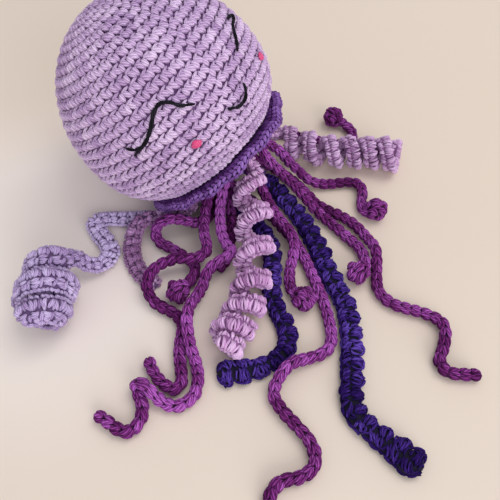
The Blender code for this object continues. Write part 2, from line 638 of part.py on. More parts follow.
def main():
    """Build the whole jellyfish."""
    clear_scene()
    lilac = make_material("lilac_yarn", (0.52, 0.36, 0.62))
    fibre = make_material("white_fibre", (0.85, 0.85, 0.83), 1.0)
    violet = make_material("violet_yarn", (0.21, 0.10, 0.36))
    plum = make_material("plum_yarn", (0.19, 0.04, 0.19))
    rose = make_material("pale_lilac_yarn", (0.62, 0.42, 0.60))
    indigo = make_material("indigo_yarn", (0.05, 0.03, 0.20))
    black = make_material("black_thread", (0.015, 0.015, 0.02))
    pink = make_material("pink_thread", (0.85, 0.10, 0.28))

    build_head(lilac, fibre)
    build_base(violet)
    build_frill(violet)
    build_thread("left_eye", LEFT_EYE, black)
    build_thread("left_eye_lash", LEFT_LASH, black)
    build_thread("right_eye", RIGHT_EYE, black)
    build_thread("smile", SMILE, black)
    build_cheek("left_cheek", LEFT_CHEEK, pink)
    build_cheek("right_cheek", RIGHT_CHEEK, pink)
    for name, values in CORDS.items():
        build_cord(name, material=plum, **values)
    for name, values in CURLS.items():
        build_curl(name, rose, **values)
    for name, values in RUFFLES.items():
        build_ruffle(name, indigo, **values)


main()
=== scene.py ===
# %% [markdown]
# # A crocheted jellyfish, stitch by stitch
# The toy is made of yarn and nothing else, so its surface is its construction: every
# stitch shows as two or three plump loops of yarn. A bump map on a smooth ball can
# suggest that, but its outline stays smooth and the holes between the stitches stay
# shallow. Here each loop is a small closed shape of its own, laid out by the rules of
# crochet: so many stitches to a round, each round one stitch height below the last.

# %% Load the frame
import math
import bpy
import numpy as np
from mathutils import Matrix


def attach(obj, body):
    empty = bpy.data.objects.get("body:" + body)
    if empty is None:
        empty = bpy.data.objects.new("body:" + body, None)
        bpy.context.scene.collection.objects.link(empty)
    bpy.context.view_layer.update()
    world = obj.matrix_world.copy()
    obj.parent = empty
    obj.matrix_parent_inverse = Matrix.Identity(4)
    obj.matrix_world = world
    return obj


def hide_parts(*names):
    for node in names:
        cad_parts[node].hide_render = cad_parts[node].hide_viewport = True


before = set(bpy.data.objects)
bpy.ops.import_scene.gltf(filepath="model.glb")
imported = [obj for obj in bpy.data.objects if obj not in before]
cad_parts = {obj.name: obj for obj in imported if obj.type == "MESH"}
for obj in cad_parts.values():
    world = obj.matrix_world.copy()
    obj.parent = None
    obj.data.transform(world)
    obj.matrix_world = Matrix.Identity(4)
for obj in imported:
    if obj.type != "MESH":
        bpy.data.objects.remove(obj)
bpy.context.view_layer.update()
MM = 0.001
chance = np.random.default_rng(7)

# %% [markdown]
# ## Camera
# The toy lies on a table and is seen from above and in front, 53 degrees above the
# table, with a lens a little shorter than a portrait lens. The camera comes first,
# because the loose tentacles have to stay in its view.

# %% Camera
FOCAL_PIXELS = 604.0
PICTURE_PIXELS = 500.0
SENSOR_WIDTH = 36.0
camera_data = bpy.data.cameras.new("camera")
camera_data.sensor_width = SENSOR_WIDTH
camera_data.lens = FOCAL_PIXELS / PICTURE_PIXELS * SENSOR_WIDTH
camera_data.clip_start = 0.01
camera = bpy.data.objects.new("camera", camera_data)
camera.location = (0.0031, -0.1748, 0.2457)
camera.rotation_euler = (math.radians(37.0), 0.0, 0.0)
bpy.context.scene.collection.objects.link(camera)
bpy.context.scene.camera = camera
print("lens", round(camera_data.lens, 1), "mm")

# %% [markdown]
# ## Light and table
# A window to the upper right gives a broad soft light with a soft shadow to the lower
# left, and the room fills the rest. The table is a warm cream sheet with faint clouds; a
# paler patch beside the head is painted light that lifts the head's shadow.

# %% Light and table
def plug(tree, socket, value):
    """Link an output into a socket, or set the socket to a constant."""
    if isinstance(value, bpy.types.NodeSocket):
        tree.links.new(value, socket)
    else:
        socket.default_value = value


def feed(tree, node, **values):
    """Plug values into a node's inputs or set its settings by name, with _ for a space."""
    for key, value in values.items():
        if key.replace("_", " ") in node.inputs:
            plug(tree, node.inputs[key.replace("_", " ")], value)
        else:
            setattr(node, key, value)
    return node


def add_node(tree, kind, *values, **settings):
    """Add a shader node whose inputs are fed in order, by name or both."""
    node = feed(tree, tree.nodes.new("ShaderNode" + kind), **settings)
    for socket, value in zip(node.inputs, values):
        plug(tree, socket, value)
    return node


def calculate(tree, operation, *values):
    """Return the result of a maths node."""
    return add_node(tree, "Math", *values, operation=operation).outputs[0]


def noise(tree, **settings):
    """Return the value of a noise in the piece's own coordinates."""
    place = add_node(tree, "TexCoord").outputs["Object"]
    return add_node(tree, "TexNoise", Vector=place, **settings).outputs["Fac"]


def colour_ramp(tree, value, stops):
    """Return the colour that a value has on a ramp of (position, colour) stops."""
    ramp = add_node(tree, "ValToRGB", value)
    elements = ramp.color_ramp.elements
    while len(elements) < len(stops):
        elements.new(0.5)
    for element, (position, colour) in zip(elements, stops):
        element.position = position
        element.color = (*colour, 1.0)
    return ramp.outputs["Color"]


def new_material(name, roughness):
    """Return a new material, its node tree and its main shader."""
    material = bpy.data.materials.new(name)
    material.use_nodes = True
    tree = material.node_tree
    return material, tree, feed(tree, tree.nodes["Principled BSDF"], Roughness=roughness)


def linear(red, green, blue):
    """Turn a screen colour of 0 to 255 into the linear values that a shader takes."""
    values = np.array([red, green, blue]) / 255.0
    return tuple(np.where(values <= 0.04045, values / 12.92, ((values + 0.055) / 1.055) ** 2.4))


def area_light(name, place, size, power, colour):
    """Add a square soft light at a place, turned towards the middle of the toy."""
    data = bpy.data.lights.new(name, "AREA")
    data.size, data.energy, data.color = size, power, colour
    lamp = bpy.data.objects.new(name, data)
    lamp.location = place
    run = np.array([0.0, 0.0, 0.03]) - place
    lamp.rotation_euler = (math.atan2(math.hypot(run[0], run[1]), -run[2]), 0.0,
                           math.atan2(run[1], run[0]) - math.pi / 2)
    bpy.context.scene.collection.objects.link(lamp)


area_light("window", (0.8, 0.35, 2.0), 1.5, 15.5, (1.0, 0.97, 0.93))
area_light("room", (0.8, -1.6, 0.7), 1.4, 19.0, (0.98, 0.98, 1.0))
world = bpy.data.worlds.new("room")
world.use_nodes = True
feed(world.node_tree, world.node_tree.nodes["Background"], Color=(0.93, 0.94, 1.0, 1.0), Strength=0.55)
bpy.context.scene.world = world
bpy.context.scene.view_settings.view_transform = "Standard"

table_material, tree, shader = new_material("cream_table", 0.75)
# A paler patch round a spot left of the head, where the head's shadow falls, is painted light that lifts that
# shadow.
spot = add_node(tree, "VectorMath", add_node(tree, "TexCoord").outputs["Object"], (-0.10, 0.01, 0.0),
                operation="DISTANCE").outputs["Value"]
painted_light_patch = add_node(tree, "MapRange", interpolation_type="SMOOTHSTEP", Value=spot, From_Min=0.13, From_Max=0.02)
tone_and_painted_light = calculate(tree, "MULTIPLY_ADD", noise(tree, Scale=2.2, Detail=2.0), 0.6, painted_light_patch.outputs["Result"])
feed(tree, shader, Base_Color=colour_ramp(
    tree, tone_and_painted_light, [(0.25, linear(234, 218, 201)), (1.0, linear(247, 236, 226))]))
bpy.ops.mesh.primitive_plane_add(size=6.0, location=(0.0, 0.0, 0.0))
table = bpy.context.object
table.name = "table"
table.data.materials.append(table_material)
print("two soft lights and a table")

# %% [markdown]
# ## One loop of yarn
# A loop that shows on the surface is a plump grain: round ends, fat in the middle, a
# little flatter than it is wide. It bends from a start over a middle to an end. All
# the loops of a piece are worked out at once as one array.

# %% Loops of yarn
LOOP_SPREAD = 0.07
SECTION_POWER = 3.2
END_ROUNDING = 0.12
HOLLOW_TONE = 0.3


def unit(vectors):
    """Return the vectors at length one."""
    vectors = np.asarray(vectors, float)
    return vectors / np.maximum(np.linalg.norm(vectors, axis=-1, keepdims=True), 1e-12)


def lengths(line):
    """Return the length along a line up to each of its points."""
    return np.concatenate([[0], np.cumsum(np.linalg.norm(np.diff(line, axis=0), axis=1))])


def read_off(wanted, stations, grid):
    """Return the points of a grid of points at wanted stations."""
    return np.column_stack([np.interp(wanted, stations, grid[:, k]) for k in range(3)])


def tube_faces(rings, sides, turned=False):
    """Return the quads between rings of points and the triangles to a pole at each end.

    The points are the rings in order, the first pole and the last pole.
    """
    i = np.arange(rings - 1)[:, None] * sides
    k = np.arange(sides)
    j = (k + 1) % sides
    quads = np.stack([i + k, i + j, i + sides + j, i + sides + k], axis=-1).reshape(-1, 4)
    first, tail = rings * sides, (rings - 1) * sides
    caps = np.vstack([np.column_stack([j, k, np.full(sides, first)]),
                      np.column_stack([tail + k, tail + j, np.full(sides, first + 1)])])
    return (quads[:, [0, 3, 2, 1]], caps[:, ::-1]) if turned else (quads, caps)


def loops(start, middle, end, outward, width, height, tone, rings=5, sides=6):
    """Return one part of a piece: many loops, each with its own tone from 0, dark, to 1, light.

    The middle line is the parabola through the three points. At a share u of its
    length the section is an ellipse whose half width and half height are the loop's
    own times (1 - |2u - 1|^3.2)^(1/2), which closes to a blunt round end.
    """
    count = len(start)
    width = np.broadcast_to(width, count) * (1 + LOOP_SPREAD * chance.standard_normal(count))
    height = np.broadcast_to(height, count) * (1 + LOOP_SPREAD * chance.standard_normal(count))
    share = np.linspace(0.04, 0.96, rings)
    pull = (2 * middle - (start + end) / 2)[:, None]
    start, end = start[:, None], end[:, None]
    u = share[:, None]
    line = start * (1 - u) ** 2 + pull * (2 * u * (1 - u)) + end * u ** 2
    along = unit((pull - start) * (1 - u) + (end - pull) * u)
    across = unit(np.cross(np.broadcast_to(outward[:, None], along.shape), along))
    full = np.sqrt(1 - np.abs(2 * share - 1) ** SECTION_POWER)[None, :, None, None]
    turn = 2 * np.pi * (np.arange(sides)[:, None] + 0.5) / sides
    ring = (line[:, :, None]
            + across[:, :, None] * (width[:, None, None, None] * full * np.cos(turn))
            + np.cross(along, across)[:, :, None] * (height[:, None, None, None] * full * np.sin(turn)))
    tip = along * width[:, None, None] * END_ROUNDING
    points = np.concatenate([ring.reshape(count, rings * sides, 3), line[:, :1] - tip[:, :1],
                             line[:, -1:] + tip[:, -1:]], axis=1)
    shift = np.arange(count)[:, None, None] * (rings * sides + 2)
    quads, caps = tube_faces(rings, sides)
    length = np.linalg.norm(end - start, axis=-1) * 1.1
    round_share = np.concatenate([np.tile(np.arange(sides) / sides, rings), [0.5, 0.5]])
    yarn_map = np.stack(np.broadcast_arrays(
        np.concatenate([np.repeat(share, sides), [0.0, 1.0]]) * length / MM, round_share), axis=-1)
    return (points.reshape(-1, 3), (quads + shift).reshape(-1, 4), (caps + shift).reshape(-1, 3),
            yarn_map.reshape(-1, 2), np.repeat(np.broadcast_to(tone, count), rings * sides + 2), 0)


# By default the skin takes material 1, the piece's painted shade for the holes between the loops.
def closed_skin(rings, first, last, turned=False, material=1):
    """Return the part that closes a piece under its loops, from rings of points and two poles."""
    count, sides = rings.shape[:2]
    points = np.vstack([rings.reshape(-1, 3), first, last])
    return (points, *tube_faces(count, sides, turned), np.zeros((len(points), 2)),
            np.full(len(points), HOLLOW_TONE), material)


def make_piece(name, node, parts, materials):
    """Make a smooth mesh from (points, quads, caps, map, tone, material) parts, for a solid's node."""
    shift, faces = 0, []
    for points, quads, caps, *_ in parts:
        faces += (quads + shift).tolist() + (caps + shift).tolist()
        shift += len(points)
    mesh = bpy.data.meshes.new(name)
    mesh.from_pydata(np.vstack([part[0] for part in parts]), [], faces)
    corner = np.zeros(len(mesh.loops), np.int32)
    mesh.loops.foreach_get("vertex_index", corner)
    yarn_map = np.vstack([part[3] for part in parts]).astype(np.float32)
    mesh.uv_layers.new(name="yarn").data.foreach_set("uv", yarn_map[corner].ravel())
    tone = np.concatenate([part[4] for part in parts]).astype(np.float32)
    mesh.attributes.new("tone", "FLOAT", "POINT").data.foreach_set("value", tone)
    mesh.polygons.foreach_set("use_smooth", np.ones(len(mesh.polygons), bool))
    for material in materials:
        mesh.materials.append(material)
    which = np.concatenate([np.full(len(part[1]) + len(part[2]), part[5]) for part in parts])
    mesh.polygons.foreach_set("material_index", which.astype(np.int32))
    mesh.validate()
    piece = bpy.data.objects.new(name, mesh)
    bpy.context.scene.collection.objects.link(piece)
    if node:
        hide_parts(node)
    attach(piece, "root")
    return piece


print("loops ready")

# %% [markdown]
# ## Yarn
# The yarn is several plies twisted together, with short fibres that stand off it. Its
# colour drifts from stitch to stitch because it is dyed in lengths. The plies run
# slantwise round each loop, so they follow the loop's own map: the first coordinate is
# the length in mm, the second goes round the yarn.

# %% Yarn material
def yarn_material(name, dark, middle, light, plies=6.0, twist=0.28, depth=0.6, sheen=0.2, ply_painted_light=0.5):
    """Return a yarn material whose colour runs over three tones and whose plies slant.

    The height of the plies is the absolute sine of (turns round the yarn times the
    plies plus the length times the twist), and fine noise adds the stray fibres. The
    ply height also darkens the colour in the grooves and lightens it on the crests, as
    painted shade and painted highlight.
    """
    material, tree, shader = new_material(name, 0.85)
    drift = noise(tree, Scale=60.0, Detail=3.0, Roughness=0.6)
    speck = noise(tree, Scale=900.0, Detail=2.0, Roughness=0.7)
    tone = add_node(tree, "Attribute", attribute_name="tone").outputs["Fac"]
    yarn_map = add_node(tree, "SeparateXYZ", add_node(tree, "UVMap", uv_map="yarn").outputs["UV"]).outputs
    turn = calculate(tree, "MULTIPLY_ADD", yarn_map["Y"], plies,
                     calculate(tree, "MULTIPLY", yarn_map["X"], twist))
    wave = calculate(tree, "SINE", calculate(tree, "MULTIPLY", turn, math.pi))
    ply = calculate(tree, "ABSOLUTE", wave)
    tone_and_painted_light = calculate(tree, "MULTIPLY_ADD", drift, 0.55, tone)
    tone_and_painted_light = calculate(tree, "MULTIPLY_ADD", speck, 0.35, tone_and_painted_light)
    # The plies darken the colour in their grooves and lighten it on their crests: painted shade and painted
    # highlight.
    tone_and_painted_light = calculate(tree, "MULTIPLY_ADD", ply, ply_painted_light, tone_and_painted_light)
    tone_and_painted_light = calculate(tree, "SUBTRACT", tone_and_painted_light, 0.40 + 0.64 * ply_painted_light)
    height = calculate(tree, "MULTIPLY_ADD", speck, 0.5, ply)
    bump = add_node(tree, "Bump", Height=height, Strength=depth, Distance=0.0005)
    light = linear(*light)
    feed(tree, shader, Normal=bump.outputs["Normal"], Specular_IOR_Level=0.12, Sheen_Weight=sheen,
         Sheen_Tint=(*light, 1.0), Sheen_Roughness=0.5,
         Base_Color=colour_ramp(tree, tone_and_painted_light, [(0.0, linear(*dark)), (0.5, linear(*middle)), (1.0, light)]))
    return material


def painted_shade_material(name, colour):
    """Return a matt dark colour with soft darker patches: painted shade for the inside of a stitch under its
    loops.
    """
    material, tree, shader = new_material(name, 0.95)
    painted_shade_patch = noise(tree, Scale=300.0, Detail=2.0)
    colour = linear(*colour)
    feed(tree, shader, Base_Color=colour_ramp(
        tree, painted_shade_patch, [(0.3, tuple(0.6 * value for value in colour)), (0.7, colour)]))
    return material


YARNS = {
    "lilac_yarn": ((150, 114, 166), (200, 168, 212), (238, 214, 245), {}),
    "violet_yarn": ((48, 14, 66), (106, 58, 134), (168, 124, 204), dict(sheen=0.1)),
    "plum_yarn": ((62, 12, 60), (124, 43, 121), (190, 102, 200), dict(plies=4.0, depth=0.8, sheen=0.1)),
    "pink_lilac_yarn": ((166, 106, 164), (222, 166, 222), (252, 212, 254), {}),
    "dusty_lilac_yarn": ((122, 94, 146), (184, 158, 206), (226, 208, 248), {}),
    "rose_lilac_yarn": ((134, 84, 134), (202, 156, 206), (240, 204, 244), {}),
    "indigo_yarn": ((20, 5, 54), (54, 23, 113), (110, 80, 188), dict(plies=4.0, sheen=0.12, ply_painted_light=0.45)),
    "black_thread": ((10, 10, 14), (22, 20, 27), (44, 42, 52), {}),
    "pink_thread": ((214, 62, 120), (240, 88, 142), (250, 130, 176), {}),
}
# The skin under the loops is painted darker than the yarn: painted shade in the holes between the stitches.
PAINTED_SHADE_COLOURS = {
    "lilac_painted_shade": (122, 84, 138), "violet_painted_shade": (52, 22, 72), "plum_painted_shade": (58, 12, 56),
    "pink_lilac_painted_shade": (150, 98, 152), "dusty_lilac_painted_shade": (112, 84, 130), "indigo_painted_shade": (16, 8, 44),
}
stuff = {name: yarn_material(name, dark, middle, light, **more)
         for name, (dark, middle, light, more) in YARNS.items()}
stuff.update({name: painted_shade_material(name, colour) for name, colour in PAINTED_SHADE_COLOURS.items()})
print(len(YARNS), "yarns and threads")

# %% [markdown]
# ## The head's form
# Crochet worked in rounds makes a body of revolution. The crown is half an ellipse and
# the lower part a fuller curve, round an axis that leans because the head lies on its
# frill. A place on it is named by its round, its turn and how far it stands off.

# %% Head form
HEAD_RADIUS = 51.0 * MM
CROWN_HEIGHT = 55.3 * MM
BASE_HEIGHT = 39.0 * MM
BASE_FULLNESS = 2.4
NECK_HEIGHT = 30.5 * MM
ROUND_COUNT = 24
WIDEST_ROUND = 60
FACE_TURN = 57.0 / WIDEST_ROUND
OUTLINE_STEPS = 400
HEAD_AXIS = unit([0.601, -0.209, -0.771])
UP_SLOPE = unit(np.array([0.0, 0.0, 1.0]) - HEAD_AXIS * HEAD_AXIS[2])
FAR_SIDE = np.cross(UP_SLOPE, HEAD_AXIS)
TABLE_POINT = np.array([-40.4, 67.0, 0.0]) * MM
HEAD_MIDDLE = TABLE_POINT + np.array([3.6, -1.3, 50.3]) * MM

crown = np.linspace(0, np.pi / 2, OUTLINE_STEPS)
lower = np.linspace(0, NECK_HEIGHT, OUTLINE_STEPS)[1:]
fullness = (1 - (lower / BASE_HEIGHT) ** BASE_FULLNESS) ** (1 / BASE_FULLNESS)
outline_height = np.concatenate([-CROWN_HEIGHT * np.cos(crown), lower])
outline_radius = HEAD_RADIUS * np.concatenate([np.sin(crown), fullness])
outline_run = lengths(np.column_stack([outline_height, outline_radius]))
slope_height = np.gradient(outline_height, outline_run)
slope_radius = np.gradient(outline_radius, outline_run)
ROUND_HEIGHT = outline_run[-1] / ROUND_COUNT


def around(height, radius, turn):
    """Return points at a height along the head's axis, a radius and a turn in whole turns."""
    angle = 2 * np.pi * np.asarray(turn, float)[..., None]
    spoke = UP_SLOPE * np.cos(angle) + FAR_SIDE * np.sin(angle)
    return HEAD_MIDDLE + HEAD_AXIS * np.asarray(height)[..., None] + spoke * np.asarray(radius)[..., None]


def on_head(row, turn, lift):
    """Return the points of the head at a round, a turn and a lift along the outline's normal."""
    run = np.clip(np.abs(row), 0, ROUND_COUNT) * ROUND_HEIGHT
    height, radius, d_height, d_radius = [np.interp(run, outline_run, values) for values in (
        outline_height, outline_radius, slope_height, slope_radius)]
    return around(height - d_radius * lift, radius + d_height * lift, turn)


print("a round is", round(ROUND_HEIGHT / MM, 2), "mm high")

# %% [markdown]
# ## Stitches of the head
# Rounds grow by six stitches until there are sixty, and shrink again below the cheeks.
# Seen with the crown up, a single crochet stitch has an upright oval leg, a broad leg
# that leans away to the lower right, and the front strand of its top loop above them.
# The rounds are worked as one spiral, so each stitch lies a little lower than the one
# before it and no seam shows.

# %% Head stitches
SKIN_DEPTH = 0.8 * MM
STITCHES_IN_ROUND = [6 * k for k in range(1, 10)] + [54] * 3 + [WIDEST_ROUND] * 8 + [54, 54, 48, 48]
# Three points as (stitches across, rounds down, lift in mm), half width in stitches, half height
# in mm, change of tone, and the loop's own number of rings and sides
HEAD_LEGS = [
    ([(-0.06, 0.05, -0.8), (-0.05, 0.46, 0.3), (0.02, 0.90, -1.0)], 0.28, 1.05, 0.06, 5, 6),
    ([(0.24, 0.03, -0.8), (0.46, 0.42, 0.25), (0.72, 0.85, -1.0)], 0.29, 1.05, 0.0, 5, 6),
    ([(-0.02, 0.22, -0.5), (0.42, 0.06, 0.2), (0.95, -0.08, -0.5)], 0.15, 0.7, 0.02, 4, 5),
]


def round_stitches(counts):
    """Return for every stitch its row, turn and the width of one stitch in turns."""
    rows, turns, steps = [], [], []
    for number, count in enumerate(counts):
        k = np.arange(count)
        rows.append(number + k / count * 0.5 - 0.25)
        turns.append((k - 0.22 * number) / count)
        steps.append(np.full(count, 1.0 / count))
    return np.concatenate(rows), np.concatenate(turns), np.concatenate(steps)


def stitch_leg(table):
    """Return start, middle, end and outward of one leg of every stitch of the head."""
    spots = []
    for across, down, lift in table:
        jitter = chance.normal(0, 0.035, (2, len(row)))
        spots.append(on_head(row + down + jitter[0], turn + (across + jitter[1]) * step, lift * MM))
    return *spots, unit(on_head(row + 0.5, turn, 5 * MM) - on_head(row + 0.5, turn, 0.0))


def ball_skin(lift, rings, sides, last_row, material=1):
    """Return the closed ball under the stitches."""
    grid = np.meshgrid(np.linspace(0, last_row, rings)[1:], np.arange(sides) / sides, indexing="ij")
    ring = on_head(*grid, lift)
    return closed_skin(ring, on_head(np.array([0.0]), 0.0, lift), ring[-1].mean(axis=0), True, material)


row, turn, step = round_stitches(STITCHES_IN_ROUND)
wide = 2 * np.pi * np.interp((row + 0.5) * ROUND_HEIGHT, outline_run, outline_radius) * step
tone = np.clip(0.54 + 0.12 * chance.standard_normal(len(row)), 0, 1)
legs = [stitch_leg(table) for table, *_ in HEAD_LEGS]
parts = [loops(*leg, width * wide, height * MM, tone + paler, rings, sides)
         for leg, (_, width, height, paler, rings, sides) in zip(legs, HEAD_LEGS)]
parts.append(ball_skin(-SKIN_DEPTH, 60, 96, ROUND_COUNT))
head = make_piece("head_stitches", "head_shell", parts,
                  [stuff["lilac_yarn"], stuff["lilac_painted_shade"]])
print(len(row), "stitches,", len(head.data.polygons), "faces")

# %% [markdown]
# ## Base and frill
# The base is a flat round worked from the middle out. The frill round it is one round
# of tall stitches, more than the neck needs, so it waves a little; its rim is the
# plait of the last round's top loops, painted paler as a highlight, and its posts are
# painted darker as shade. Where it meets the table it lies flat.

# %% Base and frill
CLEARANCE = 0.3 * MM
BASE_THICKNESS = 2.4 * MM
BASE_BULGE = 1.5 * MM
BASE_RADIUS = outline_radius[-1] - 0.6 * MM
BASE_ROUNDS = 7
BASE_LEGS = [[(-0.08, 0.1, -1.0), (0.0, 0.55, -0.6), (0.04, 1.0, -1.1)],
             [(0.16, 0.05, -1.0), (0.47, 0.45, -0.6), (0.8, 0.9, -1.1)]]
FRILL_WIDTH = 5.6 * MM
FRILL_FLARE = 3.0 * MM
FRILL_STITCHES = 92
# Three points as (stitches across, share of the width, lift in mm), tone, half width and height;
# the tone darkens the posts as painted shade and lightens the rim as painted highlight
FRILL_LEGS = [
    ([(0.0, 0.0, -0.3), (0.1, 0.30, 0.25), (0.25, 0.66, 0.3)], -0.32, 1.0, 0.8),
    ([(0.5, 0.0, -0.3), (0.5, 0.30, 0.25), (0.55, 0.66, 0.3)], -0.36, 1.0, 0.8),
    ([(-0.1, 0.66, 0.5), (0.35, 0.82, 1.15), (0.95, 0.92, 0.8)], -0.02, 0.85, 0.9),
    ([(0.1, 1.18, 0.4), (0.5, 1.06, 1.1), (1.1, 0.96, 0.7)], 0.22, 0.85, 0.9),
    ([(-0.1, 1.12, -0.2), (0.4, 1.18, -0.1), (1.0, 1.12, -0.3)], 0.1, 0.95, 0.9),
    ([(0.0, 0.0, -0.5), (0.1, 0.4, -0.8), (0.25, 0.95, -0.8)], -0.1, 1.0, 0.7),
    ([(0.5, 0.0, -0.5), (0.5, 0.4, -0.8), (0.55, 0.95, -0.8)], -0.1, 1.0, 0.7),
]
FRILL_SECTION = [(0.0, 0.1), (0.35, 0.2), (0.75, 0.5), (1.05, 0.3), (1.05, -0.3), (0.75, -0.6),
                 (0.35, -0.6), (0.0, -0.5)]
violets = [stuff["violet_yarn"], stuff["violet_painted_shade"]]


def on_base(radius, turn, lift):
    """Return points of the base's outer face at a radius, a turn and a lift outwards."""
    bulge = BASE_BULGE * (1 - (radius / BASE_RADIUS) ** 2)
    return around(NECK_HEIGHT + CLEARANCE + BASE_THICKNESS + bulge + lift, radius, turn)


def on_frill(out, turn, lift):
    """Return points of the frill from its root, 0, to its rim, 1, with a lift towards the crown."""
    angle = 2 * np.pi * turn
    wave = 0.7 * MM * out * np.sin(15 * angle) + 0.4 * MM * out * np.sin(7 * angle + 1.0)
    height = NECK_HEIGHT + CLEARANCE + 1.2 * MM + FRILL_FLARE * out ** 1.5 + wave - lift
    from_thin = (turn - 0.80 + 0.5) % 1 - 0.5
    flare = np.exp(-((turn % 1 - 0.14) / 0.05) ** 2) - np.exp(-(from_thin / 0.18) ** 4)
    reach = FRILL_WIDTH * out * (1.0 + 0.1 * np.sin(6 * angle + 2.0) + 0.25 * flare)
    spot = around(height, BASE_RADIUS + CLEARANCE + reach, turn)
    spot[..., 2] = np.maximum(spot[..., 2], 1.3 * MM + 0.4 * np.maximum(lift, -0.6 * MM))
    return spot


base_rows, base_turns, base_steps = round_stitches([6 * k for k in range(1, BASE_ROUNDS + 1)])
base_tone = 0.35 + 0.12 * chance.standard_normal(len(base_rows))
parts = []
for table in BASE_LEGS:
    spots = [on_base(np.clip((base_rows + down) * BASE_RADIUS / BASE_ROUNDS, 0, BASE_RADIUS - 0.8 * MM),
                     base_turns + across * base_steps, lift * MM) for across, down, lift in table]
    parts.append(loops(*spots, np.broadcast_to(HEAD_AXIS, spots[0].shape), 1.3 * MM, 0.9 * MM, base_tone))
grid = np.meshgrid(np.linspace(0, 1, 12)[1:] * (BASE_RADIUS - CLEARANCE), np.arange(72) / 72, indexing="ij")
inner, outer = -2.3 * MM, -1.0 * MM
parts.append(closed_skin(np.concatenate([on_base(*grid, inner), on_base(*grid, outer)[::-1]]),
                         on_base(np.array([0.0]), 0.0, inner), on_base(np.array([0.0]), 0.0, outer), True))
make_piece("base_stitches", "base_disc", parts, violets)

frill_turn = np.arange(FRILL_STITCHES) / FRILL_STITCHES
frill_tone = 0.55 + 0.12 * chance.standard_normal(FRILL_STITCHES)
parts = []
for table, paler, width, height in FRILL_LEGS:
    spots = [on_frill(out, frill_turn + across / FRILL_STITCHES, lift * MM) for across, out, lift in table]
    outward = np.broadcast_to(-HEAD_AXIS if table[1][2] >= 0 else HEAD_AXIS, spots[0].shape)
    parts.append(loops(*spots, outward, width * MM, height * MM, frill_tone + paler))
skin_turn = np.arange(168) / 168
section = np.stack([on_frill(out, skin_turn, lift * MM) for out, lift in FRILL_SECTION], axis=1)
here = np.arange(section[..., 0].size).reshape(section.shape[:2])
beside, after = np.roll(here, -1, axis=1), np.roll(here, -1, axis=0)
quads = np.stack([here, beside, np.roll(beside, -1, axis=0), after], axis=-1).reshape(-1, 4)
parts.append((section.reshape(-1, 3), quads, np.zeros((0, 3), int), np.zeros((here.size, 2)),
              np.full(here.size, HOLLOW_TONE), 1))
make_piece("frill_stitches", "collar_frill", parts, violets)
print(FRILL_STITCHES, "frill stitches")

# %% [markdown]
# ## Filling
# The stuffing never shows. It is a soft ball of fibre that keeps the stitches apart.

# %% Filling
FILLING_DEPTH = 4.2 * MM
fibre, tree, shader = new_material("white_fibre", 1.0)
bump = add_node(tree, "Bump", Strength=0.6, Distance=0.001,
                Height=noise(tree, Scale=400.0, Detail=4.0, Distortion=2.0))
feed(tree, shader, Base_Color=(0.85, 0.85, 0.83, 1.0), Normal=bump.outputs["Normal"])
make_piece("filling", "head_filling", [ball_skin(-FILLING_DEPTH, 40, 64, ROUND_COUNT - 1, 0)],
           [fibre])
print("filled")

# %% [markdown]
# ## Face
# The closed eyes and the smile are black thread, laid in a few long stitches that
# follow one another along a curve. The cheeks are a few short pink stitches side by
# side. Every line keeps to rounds and stitches, as the hand that sewed it did.

# %% Face
# Points as (round, stitches from the middle of the face), half width and stitch length in mm
THREADS = {
    "left_eye_thread": ("left_eye", 1.0, 4.2, [
        (15.1, -9.9), (15.5, -9.6), (15.75, -9.2), (15.8, -8.6), (15.5, -7.85), (14.9, -6.95), (14.2, -6.1),
        (13.95, -5.4), (14.1, -4.9), (14.7, -4.4), (15.1, -4.2), (15.9, -3.2)]),
    "left_lash_thread": ("left_eye_lash", 0.8, 4.0, [(15.8, -8.8), (16.1, -9.8)]),
    "right_eye_thread": ("right_eye", 0.85, 3.2, [
        (13.7, 5.2), (13.8, 6.1), (14.1, 6.7), (14.25, 5.9), (14.3, 5.1), (14.75, 4.3), (15.2, 3.7),
        (15.8, 2.8)]),
    "smile_thread": ("smile", 0.9, 4.5, [
        (17.8, 1.1), (18.6, 0.85), (18.98, 0.03), (18.7, -0.88), (18.15, -1.5)]),
}
CHEEKS = {"left_cheek": (18.5, -5.2), "right_cheek": (18.1, 5.3)}


def smooth_line(points, spacing):
    """Return evenly spaced points on a smooth curve through the given ones.

    Each span is a cubic whose end slopes come from the neighbouring points, with the
    square root of the chord as its parameter: two points blend into one, three times over.
    """
    points = np.asarray(points, float)
    points = np.vstack([2 * points[0] - points[1], points, 2 * points[-1] - points[-2]])
    knots = np.concatenate([[0], np.cumsum(np.sqrt(np.linalg.norm(np.diff(points, axis=0), axis=1)))])
    pieces = []
    for i in range(1, len(points) - 2):
        t = np.linspace(knots[i], knots[i + 1], 24, endpoint=False)[:, None]
        near, at = points[i - 1:i + 3], knots[i - 1:i + 3]
        for spans in ((0, 1), (1, 2), (2, 3)), ((0, 2), (1, 3)), ((1, 2),):
            near = [near[k] * (at[b] - t) / (at[b] - at[a]) + near[k + 1] * (t - at[a]) / (at[b] - at[a])
                    for k, (a, b) in enumerate(spans)]
        pieces.append(near[0])
    fine = np.vstack(pieces + [points[-2:-1]])
    run = lengths(fine)
    return read_off(np.linspace(0, run[-1], max(2, int(round(run[-1] / spacing)) + 1)), run, fine)


def sew(name, node, spots, half_width, half_height, tone, rings, thread):
    """Make the stitches of a thread from their starts, middles and ends."""
    part = loops(*spots, unit(spots[1] - HEAD_MIDDLE), half_width, half_height, tone, rings, 8)
    make_piece(name, node, [part], [stuff[thread]])


